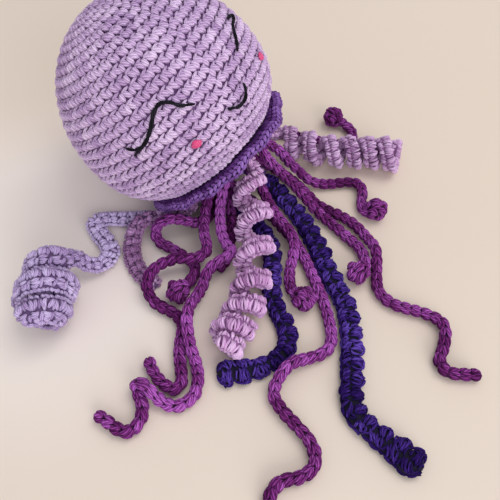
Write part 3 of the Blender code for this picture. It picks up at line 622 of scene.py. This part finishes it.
for name, (node, half_width, stitch_length, spots) in THREADS.items():
    spots = np.array(spots)
    line = smooth_line(on_head(spots[:, 0], FACE_TURN + spots[:, 1] / WIDEST_ROUND, 1.5 * MM),
                       stitch_length * MM / 4)
    last = len(line) - 1
    count = max(1, int(round(last / 4)))
    cuts = np.linspace(0, last, count + 1)
    spots = [read_off(np.clip(cuts[:-1] + share * (cuts[1] - cuts[0]), 0, last), np.arange(len(line)), line)
             for share in (-0.14, 0.5, 1.14)]
    taper = np.ones(count)
    taper[[0, -1]] = 0.7
    tone = np.clip(0.4 + 0.15 * chance.standard_normal(count), 0, 1)
    sew(name, node, spots, half_width * MM * taper, 0.8 * half_width * MM * taper, tone, 7, "black_thread")

for name, (level, stitch) in CHEEKS.items():
    drop = np.array([-0.24, -0.08, 0.08, 0.22])
    reach = np.array([0.26, 0.46, 0.52, 0.34])
    spots = [on_head(level + drop + 0.05 * share, FACE_TURN + (stitch + share * reach) / WIDEST_ROUND,
                     1.3 * MM + 0.5 * MM * (1 - share ** 2)) for share in (-1.0, 0.0, 1.0)]
    sew(name + "_thread", name, spots, 0.75 * MM, 0.7 * MM, np.array([0.4, 0.6, 0.5, 0.45]), 6, "pink_thread")
print("face sewn")

# %% [markdown]
# ## Where the tentacles run
# Each tentacle starts on the base, stands straight out of it, and comes down to the
# table in loose bends and crossings. A route is a short list of points in mm from the
# place on the table under the head; the smooth line through them is the tentacle's
# own line.

# %% Routes
# Height in mm of a lying cord's middle, for the points that give none
LYING = 3.0
STITCH_ROOM = 0.5 * MM
STRAIGHT_START = 5 * MM
CORDS = {
    "plain_tentacle_1": dict(sewn=(27, -4), knob=True, route=[
        (43, 20, 10), (51, 25, 4), (60, 27.5), (68, 26), (76, 23), (86, 19.5), (95, 18), (101, 20),
        (104, 25), (102.5, 31), (98, 35.2, 4.2), (93.2, 37.8, 6.2)]),
    "plain_tentacle_2": dict(sewn=(15, 15), knob=True, route=[
        (49, 1.5, 23), (54.5, 4.5, 15), (60, 3, 11.4), (65, -4, 10.2), (70, -9.3, 8.6), (76, -12.8, 5),
        (84, -14), (92, -13), (99, -12.5), (103.5, -14.5), (104.3, -21), (103, -28), (104, -34.4, 3.8),
        (109.6, -34.6, 6.2)]),
    "plain_tentacle_3": dict(sewn=(7, 22), knob=True, route=[
        (49, -9, 26), (53, -9, 17.5), (58, -11.5, 12.8), (63, -16, 10.6), (68, -22, 9.5), (73, -29, 8),
        (77.5, -34, 5.8), (82.5, -38.5, 3.4), (88, -44.5), (94, -52), (99, -58.5), (100.5, -65),
        (99.8, -70.6, 4.2), (95.7, -74.7, 6.2)]),
    "plain_tentacle_4": dict(sewn=(14, 4), knob=False, route=[
        (42, 0, 13), (50, -0.5, 6.5), (58.5, -3.5, 3.4), (66, -10), (72.5, -18.5), (78.5, -27.5),
        (85.5, -33.5), (93, -38), (99.5, -45), (103.5, -53, 4), (105.7, -61, 6.5), (106, -68, 4),
        (105, -76), (105, -83), (109, -89.5), (117, -93.5), (126, -96.5), (132, -101), (132.5, -107),
        (130, -114), (127.3, -120.5), (129.5, -125.5), (137, -126.8), (144, -127)]),
    "plain_tentacle_5": dict(sewn=(0, 14), knob=True, route=[
        (42, -16.5, 20.5), (46.5, -20, 14), (50.5, -26, 10), (54, -35, 9), (59, -44.5, 9), (63.5, -52, 9),
        (65.5, -58, 8.5), (64.8, -65, 6), (63, -72, 3.2), (62.7, -79), (64, -84.5, 3.8),
        (68.8, -89.8, 6.2)]),
    "plain_tentacle_6": dict(sewn=(-4, -4), knob=False, route=[
        (28, -15, 11), (38, -21, 5), (48, -29), (56.5, -39), (62, -47), (66, -54), (69.5, -61), (72, -68),
        (74, -75), (76.5, -83), (78.5, -91), (80, -99), (80.5, -106), (79.5, -113), (75, -117),
        (68, -120, 4), (61.5, -123.5, 7.2), (56.5, -129, 6.2), (53.5, -136, 3.2), (57, -143), (62, -149),
        (67, -155), (69.5, -161), (68.5, -167), (63, -170.5), (56, -172), (52, -175.5), (51, -180),
        (51, -184)]),
    "plain_tentacle_7": dict(sewn=(-16, 13), knob=False, route=[
        (30, -34, 20.5), (28.5, -40, 15), (28.5, -47, 11.5), (29.5, -54, 9.2), (32, -60, 8.8),
        (34.6, -64.5, 8.8), (32, -68.6, 9), (27, -71.5, 9.2), (23, -76, 8), (20.5, -83, 5),
        (18.3, -89, 6.5), (16, -95, 8.9), (15, -102, 8.9), (15.8, -109, 8), (17.5, -116, 5),
        (20, -122.5, 3.1), (21, -130), (19.5, -136.5), (14, -141), (8, -140.3), (3, -137, 5.6),
        (-1.5, -133.6, 8.6), (-5, -132.6, 6.2), (-3.6, -136.8), (-1.5, -143), (-3, -149.5), (-8, -152.5),
        (-14, -149), (-21, -144.5)]),
    "plain_tentacle_8": dict(sewn=(-21, 6), knob=False, route=[
        (22.5, -36, 17), (21, -41.5, 13.5), (20.5, -47, 10.6), (20.5, -53, 9), (22, -59, 8.8),
        (21.8, -65, 8.8), (17, -68.6, 8.9), (10, -68.5, 8.9), (3, -70.5, 8.9), (-3.5, -76, 8.7),
        (-5.5, -82.5, 7), (-3, -88.5, 4), (3, -93), (9, -96.5), (12.5, -102), (12.3, -109), (12, -116),
        (13, -123), (14, -129), (12.5, -133.5), (7.5, -132), (3, -128), (0, -123), (-1.5, -119)]),
    "plain_tentacle_9": dict(sewn=(-12, -5), knob=True, route=[
        (24, -27, 9), (25, -34, 6), (21, -40, 5.4), (15.5, -45.5, 8.4), (9, -47.3, 13), (3, -47.8, 14),
        (-2.5, -48.5, 10.5), (-4.5, -50.5, 5.8), (-2.3, -54), (3, -57.5), (10, -62.5), (15.5, -67),
        (16.5, -73), (13.6, -79.6, 3.8), (9.6, -85.8, 6.2)]),
    "plain_tentacle_10": dict(sewn=(-9, 12), knob=False, route=[
        (33, -26, 20), (33.5, -33, 13), (33.8, -40, 8), (34, -50, 4.8), (33, -58), (31, -66),
        (27.5, -71.5)]),
}

# Curly strips: the sewn end, the lead-in, then one point of the coil's axis for each turn
CURLS = {
    "curly_tentacle_left": dict(
        sewn=(-26, -15), half_width=4.7, half_thickness=2.1, coil_radius=11.2, coil_width=6.3,
        coil_thickness=2.6, close_angle=32, start_turn=0.14, lead=[
            (5, -34, 6), (1.5, -36.4), (-4, -37.2, 2.4), (-12, -37.5, 2.4), (-22, -38, 2.4), (-31, -38.5),
            (-36.5, -41.5, 4.4), (-34, -48), (-29, -54, 2.6), (-26.5, -61, 2.6), (-29.5, -67.5, 3.4),
            (-35, -70.5, 7), (-39.5, -71.5, 14)],
        axis=[(-49.3, -75, 14.1), (-49.6, -88.5, 14.1), (-49, -103, 14.1), (-48, -117, 14.1)], end_turn=2.38),
    "curly_tentacle_middle": dict(
        sewn=(-9, 22), half_width=3.2, half_thickness=3.0, coil_radius=5.6, coil_width=4.0,
        coil_thickness=4.5, start_turn=0.0, lead=[(43.5, -24, 30)],
        axis=[(43, -28.5, 24.5), (45, -45, 16.5), (46, -64, 13.8), (44.8, -82, 12), (42, -95, 10.8),
              (37.5, -106, 10), (32.5, -114.5, 9.8)], end_turn=6.3),
    "curly_tentacle_right": dict(
        sewn=(24, 8), half_width=3.2, half_thickness=2.8, coil_radius=5.4, coil_width=3.6,
        coil_thickness=4.0, start_turn=0.1, lead=[(48, 10, 20), (54.5, 13, 14.5)],
        axis=[(62, 13, 12), (73.5, 9.5, 9.8), (85, 5.5, 9.7), (96, 4.5, 9.7), (106, 4, 9.7),
              (115.5, 3, 10), (124.5, 2, 11.2), (130, 1, 12)], end_turn=6.05, end_swell=1.28),
    "curly_tentacle_short": dict(
        sewn=(-24, -6), half_width=4.3, half_thickness=2.0, lead=[
            (15, -35.5, 13.5), (9, -39.3, 9.4), (2, -41, 7.8), (-5, -41, 7.3), (-10, -42, 7.2),
            (-14.5, -46, 6), (-16, -52, 3.6), (-16, -59, 2.4), (-13.5, -67, 2.3), (-8.5, -74.5, 2.3),
            (-1, -80, 2.3)]),
}

# Ruffled strips: a flat strip whose right edge is crowded into scallops
RUFFLES = {
    "ruffled_tentacle_right": dict(sewn=(4, 5), half_width=4.6, half_thickness=2.6, scallop=2.9,
                                   end_width=6.2, route=[
        (39, -9.5, 14.5), (48, -12, 7), (55.5, -16.5, 4), (61, -24), (66.5, -33, 2.8), (71.5, -42, 2.8),
        (75, -51, 2.8), (78.2, -61, 2.8), (80.8, -71, 2.8), (84.3, -81, 2.8), (87.6, -90, 2.8),
        (88.9, -100, 2.8), (89, -110, 2.8), (88, -120, 2.8), (87, -130, 2.8), (86, -139, 2.8),
        (88, -146.5, 2.8), (94, -153, 2.8), (102, -160, 2.8), (111, -168.3)]),
    "ruffled_tentacle_left": dict(sewn=(-11, 4), half_width=4.2, half_thickness=2.4, scallop=1.6,
                                  end_width=6.0, route=[
        (30, -25, 12.5), (36.5, -31, 6), (43, -38, 3.4), (49, -46, 2.6), (52.8, -53, 2.6),
        (54.2, -62, 2.6), (54, -72, 2.6), (53.4, -82, 2.6), (54.8, -91, 2.6), (58.4, -100, 2.6),
        (60.4, -108, 2.6), (58.5, -115, 2.6), (53, -120.5, 2.6), (45.5, -123.6, 2.6), (37, -125, 2.6),
        (29, -126)]),
}


def routed(points):
    """Turn a route in mm from the point under the head into metres; a point may leave its height out."""
    return TABLE_POINT + np.array([(*point, LYING)[:3] for point in points], float) * MM


def sewn_start(sewn):
    """Return the sewn end on the base and a point straight out of it."""
    across, along = sewn[0] * MM, sewn[1] * MM
    bulge = BASE_BULGE * (1 - (across ** 2 + along ** 2) / BASE_RADIUS ** 2)
    height = NECK_HEIGHT + CLEARANCE + BASE_THICKNESS + bulge + STITCH_ROOM
    foot = HEAD_MIDDLE + HEAD_AXIS * height + UP_SLOPE * along + FAR_SIDE * across
    return np.array([foot, foot + HEAD_AXIS * STRAIGHT_START])


def tentacle_line(values, spacing):
    """Return the smooth line of a tentacle from its sewn end along its route."""
    return smooth_line(np.vstack([sewn_start(values["sewn"]), routed(values["route"])]), spacing)


def carry_up(line):
    """Carry an upward direction along a line from its far end, turning as little as it can."""
    along = unit(np.gradient(line, axis=0))
    up = np.zeros_like(line)
    now = np.array([0.0, 0.0, 1.0])
    for i in range(len(line) - 1, -1, -1):
        now = unit(now + np.array([0.0, 0.0, 0.12]) * (1 - abs(along[i, 2])))
        now = up[i] = unit(now - along[i] * np.dot(now, along[i]))
    return along, up


print(len(CORDS), "plain,", len(CURLS), "curly and", len(RUFFLES), "ruffled tentacles")

# %% [markdown]
# ## Crochet round a strip
# Every tentacle is crochet on a line: a strip with an oval section. A pattern says
# where each loop of a stitch starts, bends and ends, as shares of the stitch along the
# line and as angles round the section. Ninety degrees is its upper side.

# %% Strips
SMALLEST = 0.4 * MM
THINNEST_SKIN = 0.3 * MM
SHARE_WOBBLE, ANGLE_WOBBLE, LIFT_WOBBLE = 0.04, 3.0, 0.08
STITCH_TONES, LOOP_TONES = 0.08, 0.10


class Strip:
    """An oval sweep: its line, its side and upper directions and its half sizes."""

    def __init__(self, line, side, up, half_width, half_height, swell=0.0):
        self.line, self.side, self.up = line, side, up
        self.run = lengths(line)
        self.width, self.height, self.swell = [
            np.broadcast_to(size, len(line)).astype(float) for size in (half_width, half_height, swell)]

    def place(self, run, angle, lift):
        """Return points and normals at lengths along the line, angles in degrees and lifts."""
        run = np.clip(run, 0, self.run[-1])
        line, side, up = [read_off(run, self.run, grid) for grid in (self.line, self.side, self.up)]
        width, height, swell = [np.interp(run, self.run, size)
                                for size in (self.width, self.height, self.swell)]
        cosine, sine = np.cos(np.radians(angle)), np.sin(np.radians(angle))
        width = width + swell * np.maximum(cosine, 0)
        normal = unit(side * (cosine * height)[:, None] + up * (sine * width)[:, None])
        point = line + side * (width * cosine)[:, None] + up * (height * sine)[:, None]
        return point + normal * np.broadcast_to(lift, len(run))[:, None], normal

    def skin(self, inset, sides=10):
        """Return the closed skin under the loops, inset by a length."""
        turn = 2 * np.pi * np.arange(sides)[:, None] / sides
        width, height = [np.maximum(size - inset, THINNEST_SKIN)[:, None, None]
                         for size in (self.width, self.height)]
        swell = self.swell[:, None, None] * np.maximum(np.cos(turn), 0) ** 2
        ring = (self.line[:, None] + self.side[:, None] * (width * np.cos(turn) + swell)
                + self.up[:, None] * (height * np.sin(turn)))
        return closed_skin(ring, self.line[0], self.line[-1])

    def shrunk(self, depth):
        """Return the strip drawn in by a depth, so that its loops end at its own surface."""
        return Strip(self.line, self.side, self.up, np.maximum(self.width - depth, SMALLEST),
                     np.maximum(self.height - depth, SMALLEST), self.swell)


def blunt_end(run, reach):
    """Return the share of its size that a strip keeps near its end, which closes like a ball."""
    left = np.clip((run[-1] - run + SMALLEST) / reach, 0, 1)
    return np.sqrt(1 - (1 - left) ** 2)


def drift(value, far_value, first, second):
    """Return a tone that goes from one value to another and drifts, with (waves, size) pairs."""
    waves = chance.uniform(0, 2 * np.pi, 2)
    return lambda share: (value + (far_value - value) * share + first[1] * np.sin(first[0] * share + waves[0])
                          + second[1] * np.sin(second[0] * share + waves[1]))


def crochet(strip, pitch, pattern, tone, jitter=1.0):
    """Return the loops of a strip worked with a pattern at a pitch along its line.

    Each line of the pattern is (start, middle, end, half width, half height, tone shift),
    and each place is (share of the stitch, angle, lift in mm).
    """
    count = max(2, int(round(strip.run[-1] / pitch)))
    pitch = strip.run[-1] / count
    run = np.arange(count) * pitch
    base_tone = tone(run / strip.run[-1]) + STITCH_TONES * chance.standard_normal(count)
    parts = []
    for *places, half_width, half_height, shift in pattern:
        spots = []
        for share, angle, lift in places:
            wobble = chance.standard_normal((3, count)) * jitter
            spots.append(strip.place(run + (share + SHARE_WOBBLE * wobble[0]) * pitch,
                                     angle + ANGLE_WOBBLE * wobble[1], (lift + LIFT_WOBBLE * wobble[2]) * MM))
        parts.append(loops(*[spot[0] for spot in spots], spots[1][1], half_width * MM, half_height * MM,
                           np.clip(base_tone + shift + LOOP_TONES * chance.standard_normal(count), 0, 1)))
    return parts


def strip_piece(name, node, strip, parts, inset, yarn, painted_shade_name):
    """Make a piece from a strip's loops and the skin under them."""
    return make_piece(name, node, parts + [strip.skin(inset * MM)], [stuff[yarn], stuff[painted_shade_name]])


print("strips ready")

# %% [markdown]
# ## Plain cords
# A plain tentacle is a chain with a row of slip stitches on it: a flat cord with a
# plait of two slanting legs on top and another below. The curled ends are made of the
# same cord, rolled into a small ball.

# %% Plain cords
CORD_WIDTH = 5.8 * MM
CORD_HEIGHT = 4.9 * MM
CORD_PITCH = 4.7 * MM
LOOP_DEPTH = 0.6 * MM
# The loops round the sides and the underside are a tenth darker: painted shade under the cord.
PLAIT = [
    ((-0.12, 112, -0.1), (0.40, 140, 0.1), (0.98, 176, -0.5), 0.95, 0.85, 0.0),
    ((0.02, 84, 0.0), (0.55, 106, 0.2), (1.15, 140, -0.35), 0.95, 0.85, 0.08),
    ((-0.12, 68, -0.1), (0.40, 40, 0.1), (0.98, 4, -0.5), 0.95, 0.85, 0.0),
    ((0.02, 96, 0.0), (0.55, 74, 0.2), (1.15, 40, -0.35), 0.95, 0.85, -0.04),
    ((0.10, 190, -0.5), (0.6, 202, -0.1), (1.15, 196, -0.5), 1.05, 0.8, -0.1),
    ((0.10, -10, -0.5), (0.6, -22, -0.1), (1.15, -16, -0.5), 1.05, 0.8, -0.1),
    ((0.0, 262, -0.4), (0.5, 240, -0.1), (1.0, 215, -0.5), 1.2, 0.8, -0.1),
    ((0.0, 278, -0.4), (0.5, 300, -0.1), (1.0, 325, -0.5), 1.2, 0.8, -0.1),
]
# The tone of each plain tentacle at its sewn end and at its far end, from the first to the tenth
CORD_TONES = [(0.45, 0.40), (0.5, 0.5), (0.5, 0.5), (0.5, 0.38), (0.5, 0.45), (0.55, 0.45), (0.85, 0.5),
              (0.35, 0.35), (0.45, 0.5), (0.25, 0.3)]
cords = []
for (name, values), (near, far) in zip(CORDS.items(), CORD_TONES):
    line = tentacle_line(values, 0.8 * MM)
    if values["knob"]:
        line = line[:-4]
    along, up = carry_up(line)
    close = blunt_end(lengths(line), 2.4 * MM)
    strip = Strip(line, np.cross(along, up), up, (CORD_WIDTH / 2 - LOOP_DEPTH) * close,
                  (CORD_HEIGHT / 2 - LOOP_DEPTH) * close)
    parts = crochet(strip, CORD_PITCH, PLAIT, drift(near, far, (9, 0.13), (23, 0.08)))
    piece = strip_piece(name + "_yarn", name, strip, parts, 0.45, "plum_yarn", "plum_painted_shade")
    cords.append((name, values, piece, strip, far))
    print(name, round(strip.run[-1] * 1000), "mm")

# %% [markdown]
# ## Knobs
# The end of a cord rolled into a ball shows three or four turns of the plait. The
# turns are one spiral over a small ball, worked with the same loops.

# %% Knobs
KNOB_RADIUS = 5.7 * MM
KNOB_TURNS = 2.6
KNOB_CORD = 2.2 * MM


def knob(name, centre, heading, tone):
    """Make one rolled end: a cord that winds over a ball from one side to the other."""
    heading = unit(heading)
    side = unit(np.cross(heading, [0.0, 0.0, 1.0]))
    up = np.cross(side, heading)
    share = np.linspace(0.0, 1.0, 90)[:, None]
    polar = np.pi * (0.05 + 0.9 * share)
    turn = 2 * np.pi * KNOB_TURNS * share
    spoke = heading * np.cos(turn) + up * np.sin(turn)
    line = centre + (KNOB_RADIUS - KNOB_CORD) * (side * np.cos(polar) + spoke * np.sin(polar))
    outward = unit(line - centre)
    along = unit(np.gradient(line, axis=0))
    strip = Strip(line, np.cross(along, outward), outward, 2.3 * MM, 1.9 * MM)
    parts = crochet(strip, 4.2 * MM, PLAIT[:4], lambda share: np.full(len(share), tone))
    return strip_piece(name, None, strip, parts, 0.4, "plum_yarn", "plum_painted_shade")


for name, values, piece, strip, tone in cords:
    line, extra = strip.line, []
    if values["knob"]:
        end = routed([values["route"][-1]])[0]
        extra.append(knob(name + "_knob", end, line[-1] - line[-6], tone))

# %% [markdown]
# ## Curly tentacles
# Three stitches worked into each chain crowd the strip, and it can only curl. The
# chain becomes the inner edge of the coil, and the crowded stitches stand on it side by
# side as small ribbed shells. Each shell is built from four or five strands of yarn that
# spread in its middle, with half shells below them for the strip's two edges.

# %% Curly tentacles
RIM_DEPTH = 0.9 * MM
ROOT_WIDTH = 2.6
ROOT_RUN = 18 * MM
TIP_REACH = 3 * MM
BLEND_RUN = 14 * MM


def shell_row(top, bottom, lift, lean, strands, shift):
    """Return the strands of one shell across a strip, which spread in the middle like barrel staves."""
    rows = []
    for k in range(strands):
        place = (k - (strands - 1) / 2) / strands
        # The middle strands are painted lighter and the outer ones darker: painted highlight on each shell
        # and painted shade where shells meet.
        rows.append(((0.5 + 0.62 * place - lean, top, -0.15),
                     (0.5 + 1.08 * place, (top + bottom) / 2, lift * (1 - 8.0 * place ** 2)),
                     (0.5 + 0.55 * place + lean, bottom, -0.15), 0.60, 0.80,
                     shift + 0.12 - 1.2 * abs(place) ** 1.5))
    return rows


def lumpy_face(sign):
    """Return the loops of one face of a wide strip: a row of lying and a row of fanned strands."""
    rows = []
    for k in range(3):
        low = 96 + 17 * k
        rows.append(((0.02 + 0.06 * k, sign * low, -0.1), (0.36, sign * (low + 9), 0.75),
                     (0.74 - 0.04 * k, sign * (low - 4), -0.1), 1.0, 1.0, 0.08 - 0.03 * k))
        rows.append(((0.40 + 0.10 * k, sign * 90, -0.1), (0.30 + 0.22 * k, sign * 62, 0.75),
                     (0.18 + 0.32 * k, sign * 30, 0.0), 1.02, 1.0, 0.02 + 0.06 * (k == 1)))
    rows.append(((0.72, sign * 96, -0.2), (0.90, sign * 120, 0.3), (1.0, sign * 150, -0.2), 0.95, 0.9, -0.06))
    rows.append(((0.04, sign * 88, -0.3), (0.0, sign * 62, 0.2), (-0.02, sign * 34, -0.2), 0.85, 0.8, -0.1))
    return rows


BEADS = [row for values in ((24, -98, 1.55, 0.0, 5, 0.04), (98, 22, 0.75, 0.14, 4, 0.0),
                            (92, 176, 0.4, 0.1, 4, -0.08), (-92, -176, 0.4, 0.1, 4, -0.08))
         for row in shell_row(*values)]
RIBBON = lumpy_face(1) + lumpy_face(-1) + [
    ((at, side - 26, -0.1), (at + 0.1, side, 0.45), (at + 0.22, side + 26, -0.1), 0.95, 0.95, 0.04)
    for side in (0, 180) for at in (0.0, 0.33, 0.66)]


def coil_line(axis, radius, start_turn, end_turn, end_swell, per_turn=40):
    """Return a right-handed coil, its outward directions and its axis line.

    Each point of the axis is one whole turn on from the last. The coil's point is the
    axis point plus the radius times (level direction times cosine plus lifted direction
    times sine) of the turn, and the radius opens up over the first part of a turn.
    """
    knots = routed(axis)
    stations = np.arange(len(knots))
    turn = np.linspace(start_turn, end_turn, int((end_turn - start_turn) * per_turn) + 1)
    slopes = np.gradient(knots, stations, axis=0)
    k = np.clip(np.searchsorted(stations, turn) - 1, 0, len(stations) - 2)
    t = (turn - stations[k])[:, None]
    centre = ((2 * t ** 3 - 3 * t ** 2 + 1) * knots[k] + (t ** 3 - 2 * t ** 2 + t) * slopes[k]
              + (-2 * t ** 3 + 3 * t ** 2) * knots[k + 1] + (t ** 3 - t ** 2) * slopes[k + 1])
    tangent = unit(np.gradient(centre, axis=0))
    level = unit(np.cross([0.0, 0.0, 1.0], tangent))
    angle = 2 * np.pi * turn[:, None]
    out = level * np.cos(angle) + np.cross(tangent, level) * np.sin(angle)
    reach = radius * np.clip(0.8 + 0.3 * (turn - start_turn), 0, 1)
    reach = reach * np.interp(turn - end_turn, [-1.1, -0.4], [1.0, end_swell])
    return centre + out * reach[:, None], out, centre


def lead_width(run, half_width):
    """Return the half width in mm of a strip that starts narrow at its sewn end."""
    return ROOT_WIDTH + (half_width - ROOT_WIDTH) * np.clip(run / ROOT_RUN, 0, 1)


def level_side(line):
    """Return level directions to the right of a line's run."""
    side = np.cross(np.gradient(line, axis=0), [0.0, 0.0, 1.0])
    side[:, 2] = 0
    return unit(side)


def bent_strip(sewn, half_width, half_thickness, lead):
    """Return the strip of a curly tentacle that only bends."""
    line = tentacle_line(dict(sewn=sewn, route=lead), 1.2 * MM)
    side = level_side(line)
    run = lengths(line)
    close = blunt_end(run, TIP_REACH)
    return Strip(line, side, unit(np.cross(side, unit(np.gradient(line, axis=0)))),
                 lead_width(run, half_width) * MM * close, half_thickness * MM * close)


def curl_strip(sewn, half_width, half_thickness, lead, coil_radius, coil_width, coil_thickness,
               start_turn, axis, end_turn, close_angle=0.0, end_swell=1.0):
    """Return the strip of a curly tentacle, its lead-in blended into its coil.

    The last turn may lean by an angle towards the axis, like the tip of a bud.
    """
    coil, coil_out, centre = coil_line(axis, coil_radius * MM, start_turn, end_turn, end_swell)
    lead_line = smooth_line(np.vstack([sewn_start(sewn), routed(lead), coil[:1], coil[4:5]]), 1.0 * MM)
    nearest = int(np.argmin(np.linalg.norm(lead_line - coil[0], axis=1)))
    lead_out = level_side(lead_line)[:nearest]
    line = np.vstack([lead_line[:nearest], coil])
    wide = coil_out
    if coil_width > 1.5 * coil_thickness:
        wide = -unit(np.gradient(centre, axis=0))
    if np.dot(lead_out[-1], wide[0]) < 0:
        lead_out = -lead_out
    run = lengths(line)
    blend = np.clip((run - run[nearest]) / BLEND_RUN + 0.85, 0, 1)
    side = np.vstack([lead_out, wide])
    side[:nearest] = side[:nearest] * (1 - blend[:nearest, None]) + wide[0] * blend[:nearest, None]
    along = unit(np.gradient(line, axis=0))
    side = unit(side - along * np.sum(side * along, axis=1)[:, None])
    taper = np.clip(0.75 + (run[-1] - run) / (12 * MM), 0, 1) * blunt_end(run, TIP_REACH)
    width = (lead_width(run, half_width) * (1 - blend) + coil_width * blend) * MM * taper
    height = (half_thickness * (1 - blend) + coil_thickness * blend) * MM * taper
    if close_angle:
        turn = np.interp(run, [run[nearest], run[-1]], [start_turn - end_turn, 0.0])
        angle = np.radians(close_angle) * np.clip((turn + 1.0) / 0.7, 0, 1)
        out = np.vstack([np.zeros_like(line[:nearest]), coil_out])
        line = line - out * (width * np.sin(angle) * 0.7)[:, None]
        side = side * np.cos(angle)[:, None] + out * np.sin(angle)[:, None]
    return Strip(line, side, np.cross(along, side), width, height)


# Pattern, pitch in mm, yarn, painted shade of the skin under the loops, tone at the sewn end and, for the
# band, at the far end
CURL_LOOKS = {
    "curly_tentacle_left": (RIBBON, 4.9, "dusty_lilac_yarn", "dusty_lilac_painted_shade", 0.5, 0.3),
    "curly_tentacle_middle": (BEADS, 3.7, "pink_lilac_yarn", "pink_lilac_painted_shade", 0.62, 0.0),
    "curly_tentacle_right": (BEADS, 3.5, "rose_lilac_yarn", "pink_lilac_painted_shade", 0.66, 0.0),
    "curly_tentacle_short": (RIBBON, 5.6, "rose_lilac_yarn", "dusty_lilac_painted_shade", 0.1, 0.0),
}
for name, values in CURLS.items():
    pattern, pitch, yarn, painted_shade_name, value, paler = CURL_LOOKS[name]
    strip = (curl_strip if "axis" in values else bent_strip)(**values).shrunk(RIM_DEPTH)
    flat = drift(value, value, (11, 0.1), (29, 0.1))
    parts = crochet(strip, pitch * MM, pattern,
                    lambda share: flat(share) + paler * np.clip(1.6 - 3 * share, 0, 1), jitter=1.6)
    piece = strip_piece(name + "_yarn", name, strip, parts, 0.2, yarn, painted_shade_name)
    print(name, round(strip.run[-1] * 1000), "mm,", len(piece.data.polygons), "faces")

# %% [markdown]
# ## Ruffled tentacles
# Two stitches in each chain crowd one edge of these flat strips, and it buckles into
# scallops while the other edge stays straight.

# %% Ruffled tentacles
SCALLOP_PITCH = 7.6
SHELL_REACH = 4.6
ROOT_HEIGHT = 2.2
# The loops on the underside are a tenth darker: painted shade under the strip.
SHELLS = [
    ((0.00, 94, 0.1), (0.12, 126, 0.8), (0.28, 162, -0.1), 1.0, 0.95, 0.08),
    ((0.20, 92, 0.2), (0.34, 122, 0.95), (0.50, 158, 0.0), 1.0, 0.95, 0.16),
    ((0.42, 94, 0.1), (0.54, 126, 0.8), (0.70, 160, -0.1), 1.0, 0.95, 0.05),
    ((0.88, 96, -0.2), (0.76, 128, 0.3), (0.62, 158, -0.3), 0.9, 0.85, -0.1),
    ((0.00, 176, -0.2), (0.28, 190, 0.4), (0.58, 178, -0.1), 0.95, 0.9, 0.0),
    ((0.52, 180, -0.2), (0.76, 190, 0.1), (1.02, 178, -0.3), 0.9, 0.85, -0.12),
    ((0.30, 92, 0.0), (0.20, 56, 0.7), (0.16, 18, 0.0), 1.0, 0.95, 0.0),
    ((0.42, 90, 0.1), (0.40, 52, 0.95), (0.37, 8, 0.1), 1.05, 0.95, 0.06),
    ((0.56, 90, 0.1), (0.60, 52, 0.95), (0.61, 8, 0.1), 1.05, 0.95, 0.06),
    ((0.70, 92, 0.0), (0.78, 56, 0.7), (0.82, 18, 0.0), 1.0, 0.95, -0.03),
    ((0.06, 16, -0.3), (0.28, -6, 0.5), (0.55, 0, 0.4), 0.95, 0.9, 0.05),
    ((0.47, -2, 0.4), (0.74, -8, 0.5), (0.95, 16, -0.3), 0.95, 0.9, 0.0),
    *[((at, -58, -0.2), (at + 0.25, -90, 0.1), (at + 0.5, -122, -0.2), 1.3, 0.7, -0.1) for at in (0.0, 0.5)],
    *[((at, -20, -0.2), (at + 0.2, -38, 0.1), (at + 0.4, -62, -0.2), 1.1, 0.7, -0.1) for at in (0.1, 0.6)],
]


def plied(pattern, gap=0.46):
    """Return a pattern with each strand split into two thinner ones side by side, a gap in mm apart."""
    rows = []
    for *places, half_width, half_height, shift in pattern:
        start, end = places[0], places[2]
        run = np.array([(end[0] - start[0]) * SCALLOP_PITCH, np.radians(end[1] - start[1]) * SHELL_REACH])
        share, angle = np.array([-run[1], run[0]]) / np.hypot(*run) * gap
        share, angle = share / SCALLOP_PITCH, np.degrees(angle / SHELL_REACH)
        for sign, tone in ((1, 0.05), (-1, -0.03)):
            rows.append((*[(a + sign * share, g + sign * angle, lift) for a, g, lift in places],
                         0.58 * half_width, 0.85 * half_height, shift + tone))
    return rows


for name, values in RUFFLES.items():
    line = tentacle_line(values, 0.9 * MM)
    run = lengths(line)
    side = -level_side(line)
    along = unit(np.gradient(line, axis=0))
    ramp = np.clip((run - 6 * MM) / (16 * MM), 0, 1)
    broad = np.clip(1 - (run[-1] - run - 9 * MM) / (10 * MM), 0, 1)
    blunt = blunt_end(run, 5 * MM) * MM
    half_width = values["half_width"]
    width = ROOT_WIDTH + (half_width - ROOT_WIDTH) * ramp + (values["end_width"] - half_width) * broad
    height = ROOT_HEIGHT + (values["half_thickness"] + 0.3 - ROOT_HEIGHT) * ramp
    scallops = int(round(run[-1] / (SCALLOP_PITCH * MM)))
    bump = 0.75 * np.abs(np.sin(np.pi * run / run[-1] * scallops)) ** 0.7 - 0.25
    swell = (values["scallop"] + 0.6) * bump * ramp
    strip = Strip(line, side, np.cross(along, side), width * blunt, height * blunt, swell * blunt)
    strip = strip.shrunk(RIM_DEPTH)
    parts = crochet(strip, run[-1] / scallops, plied(SHELLS), drift(0.42, 0.42, (11, 0.12), (29, 0.12)),
                    jitter=2.4)
    strip_piece(name + "_yarn", name, strip, parts, 0.15, "indigo_yarn", "indigo_painted_shade")
    print(name, round(run[-1] * 1000), "mm with", scallops, "scallops")
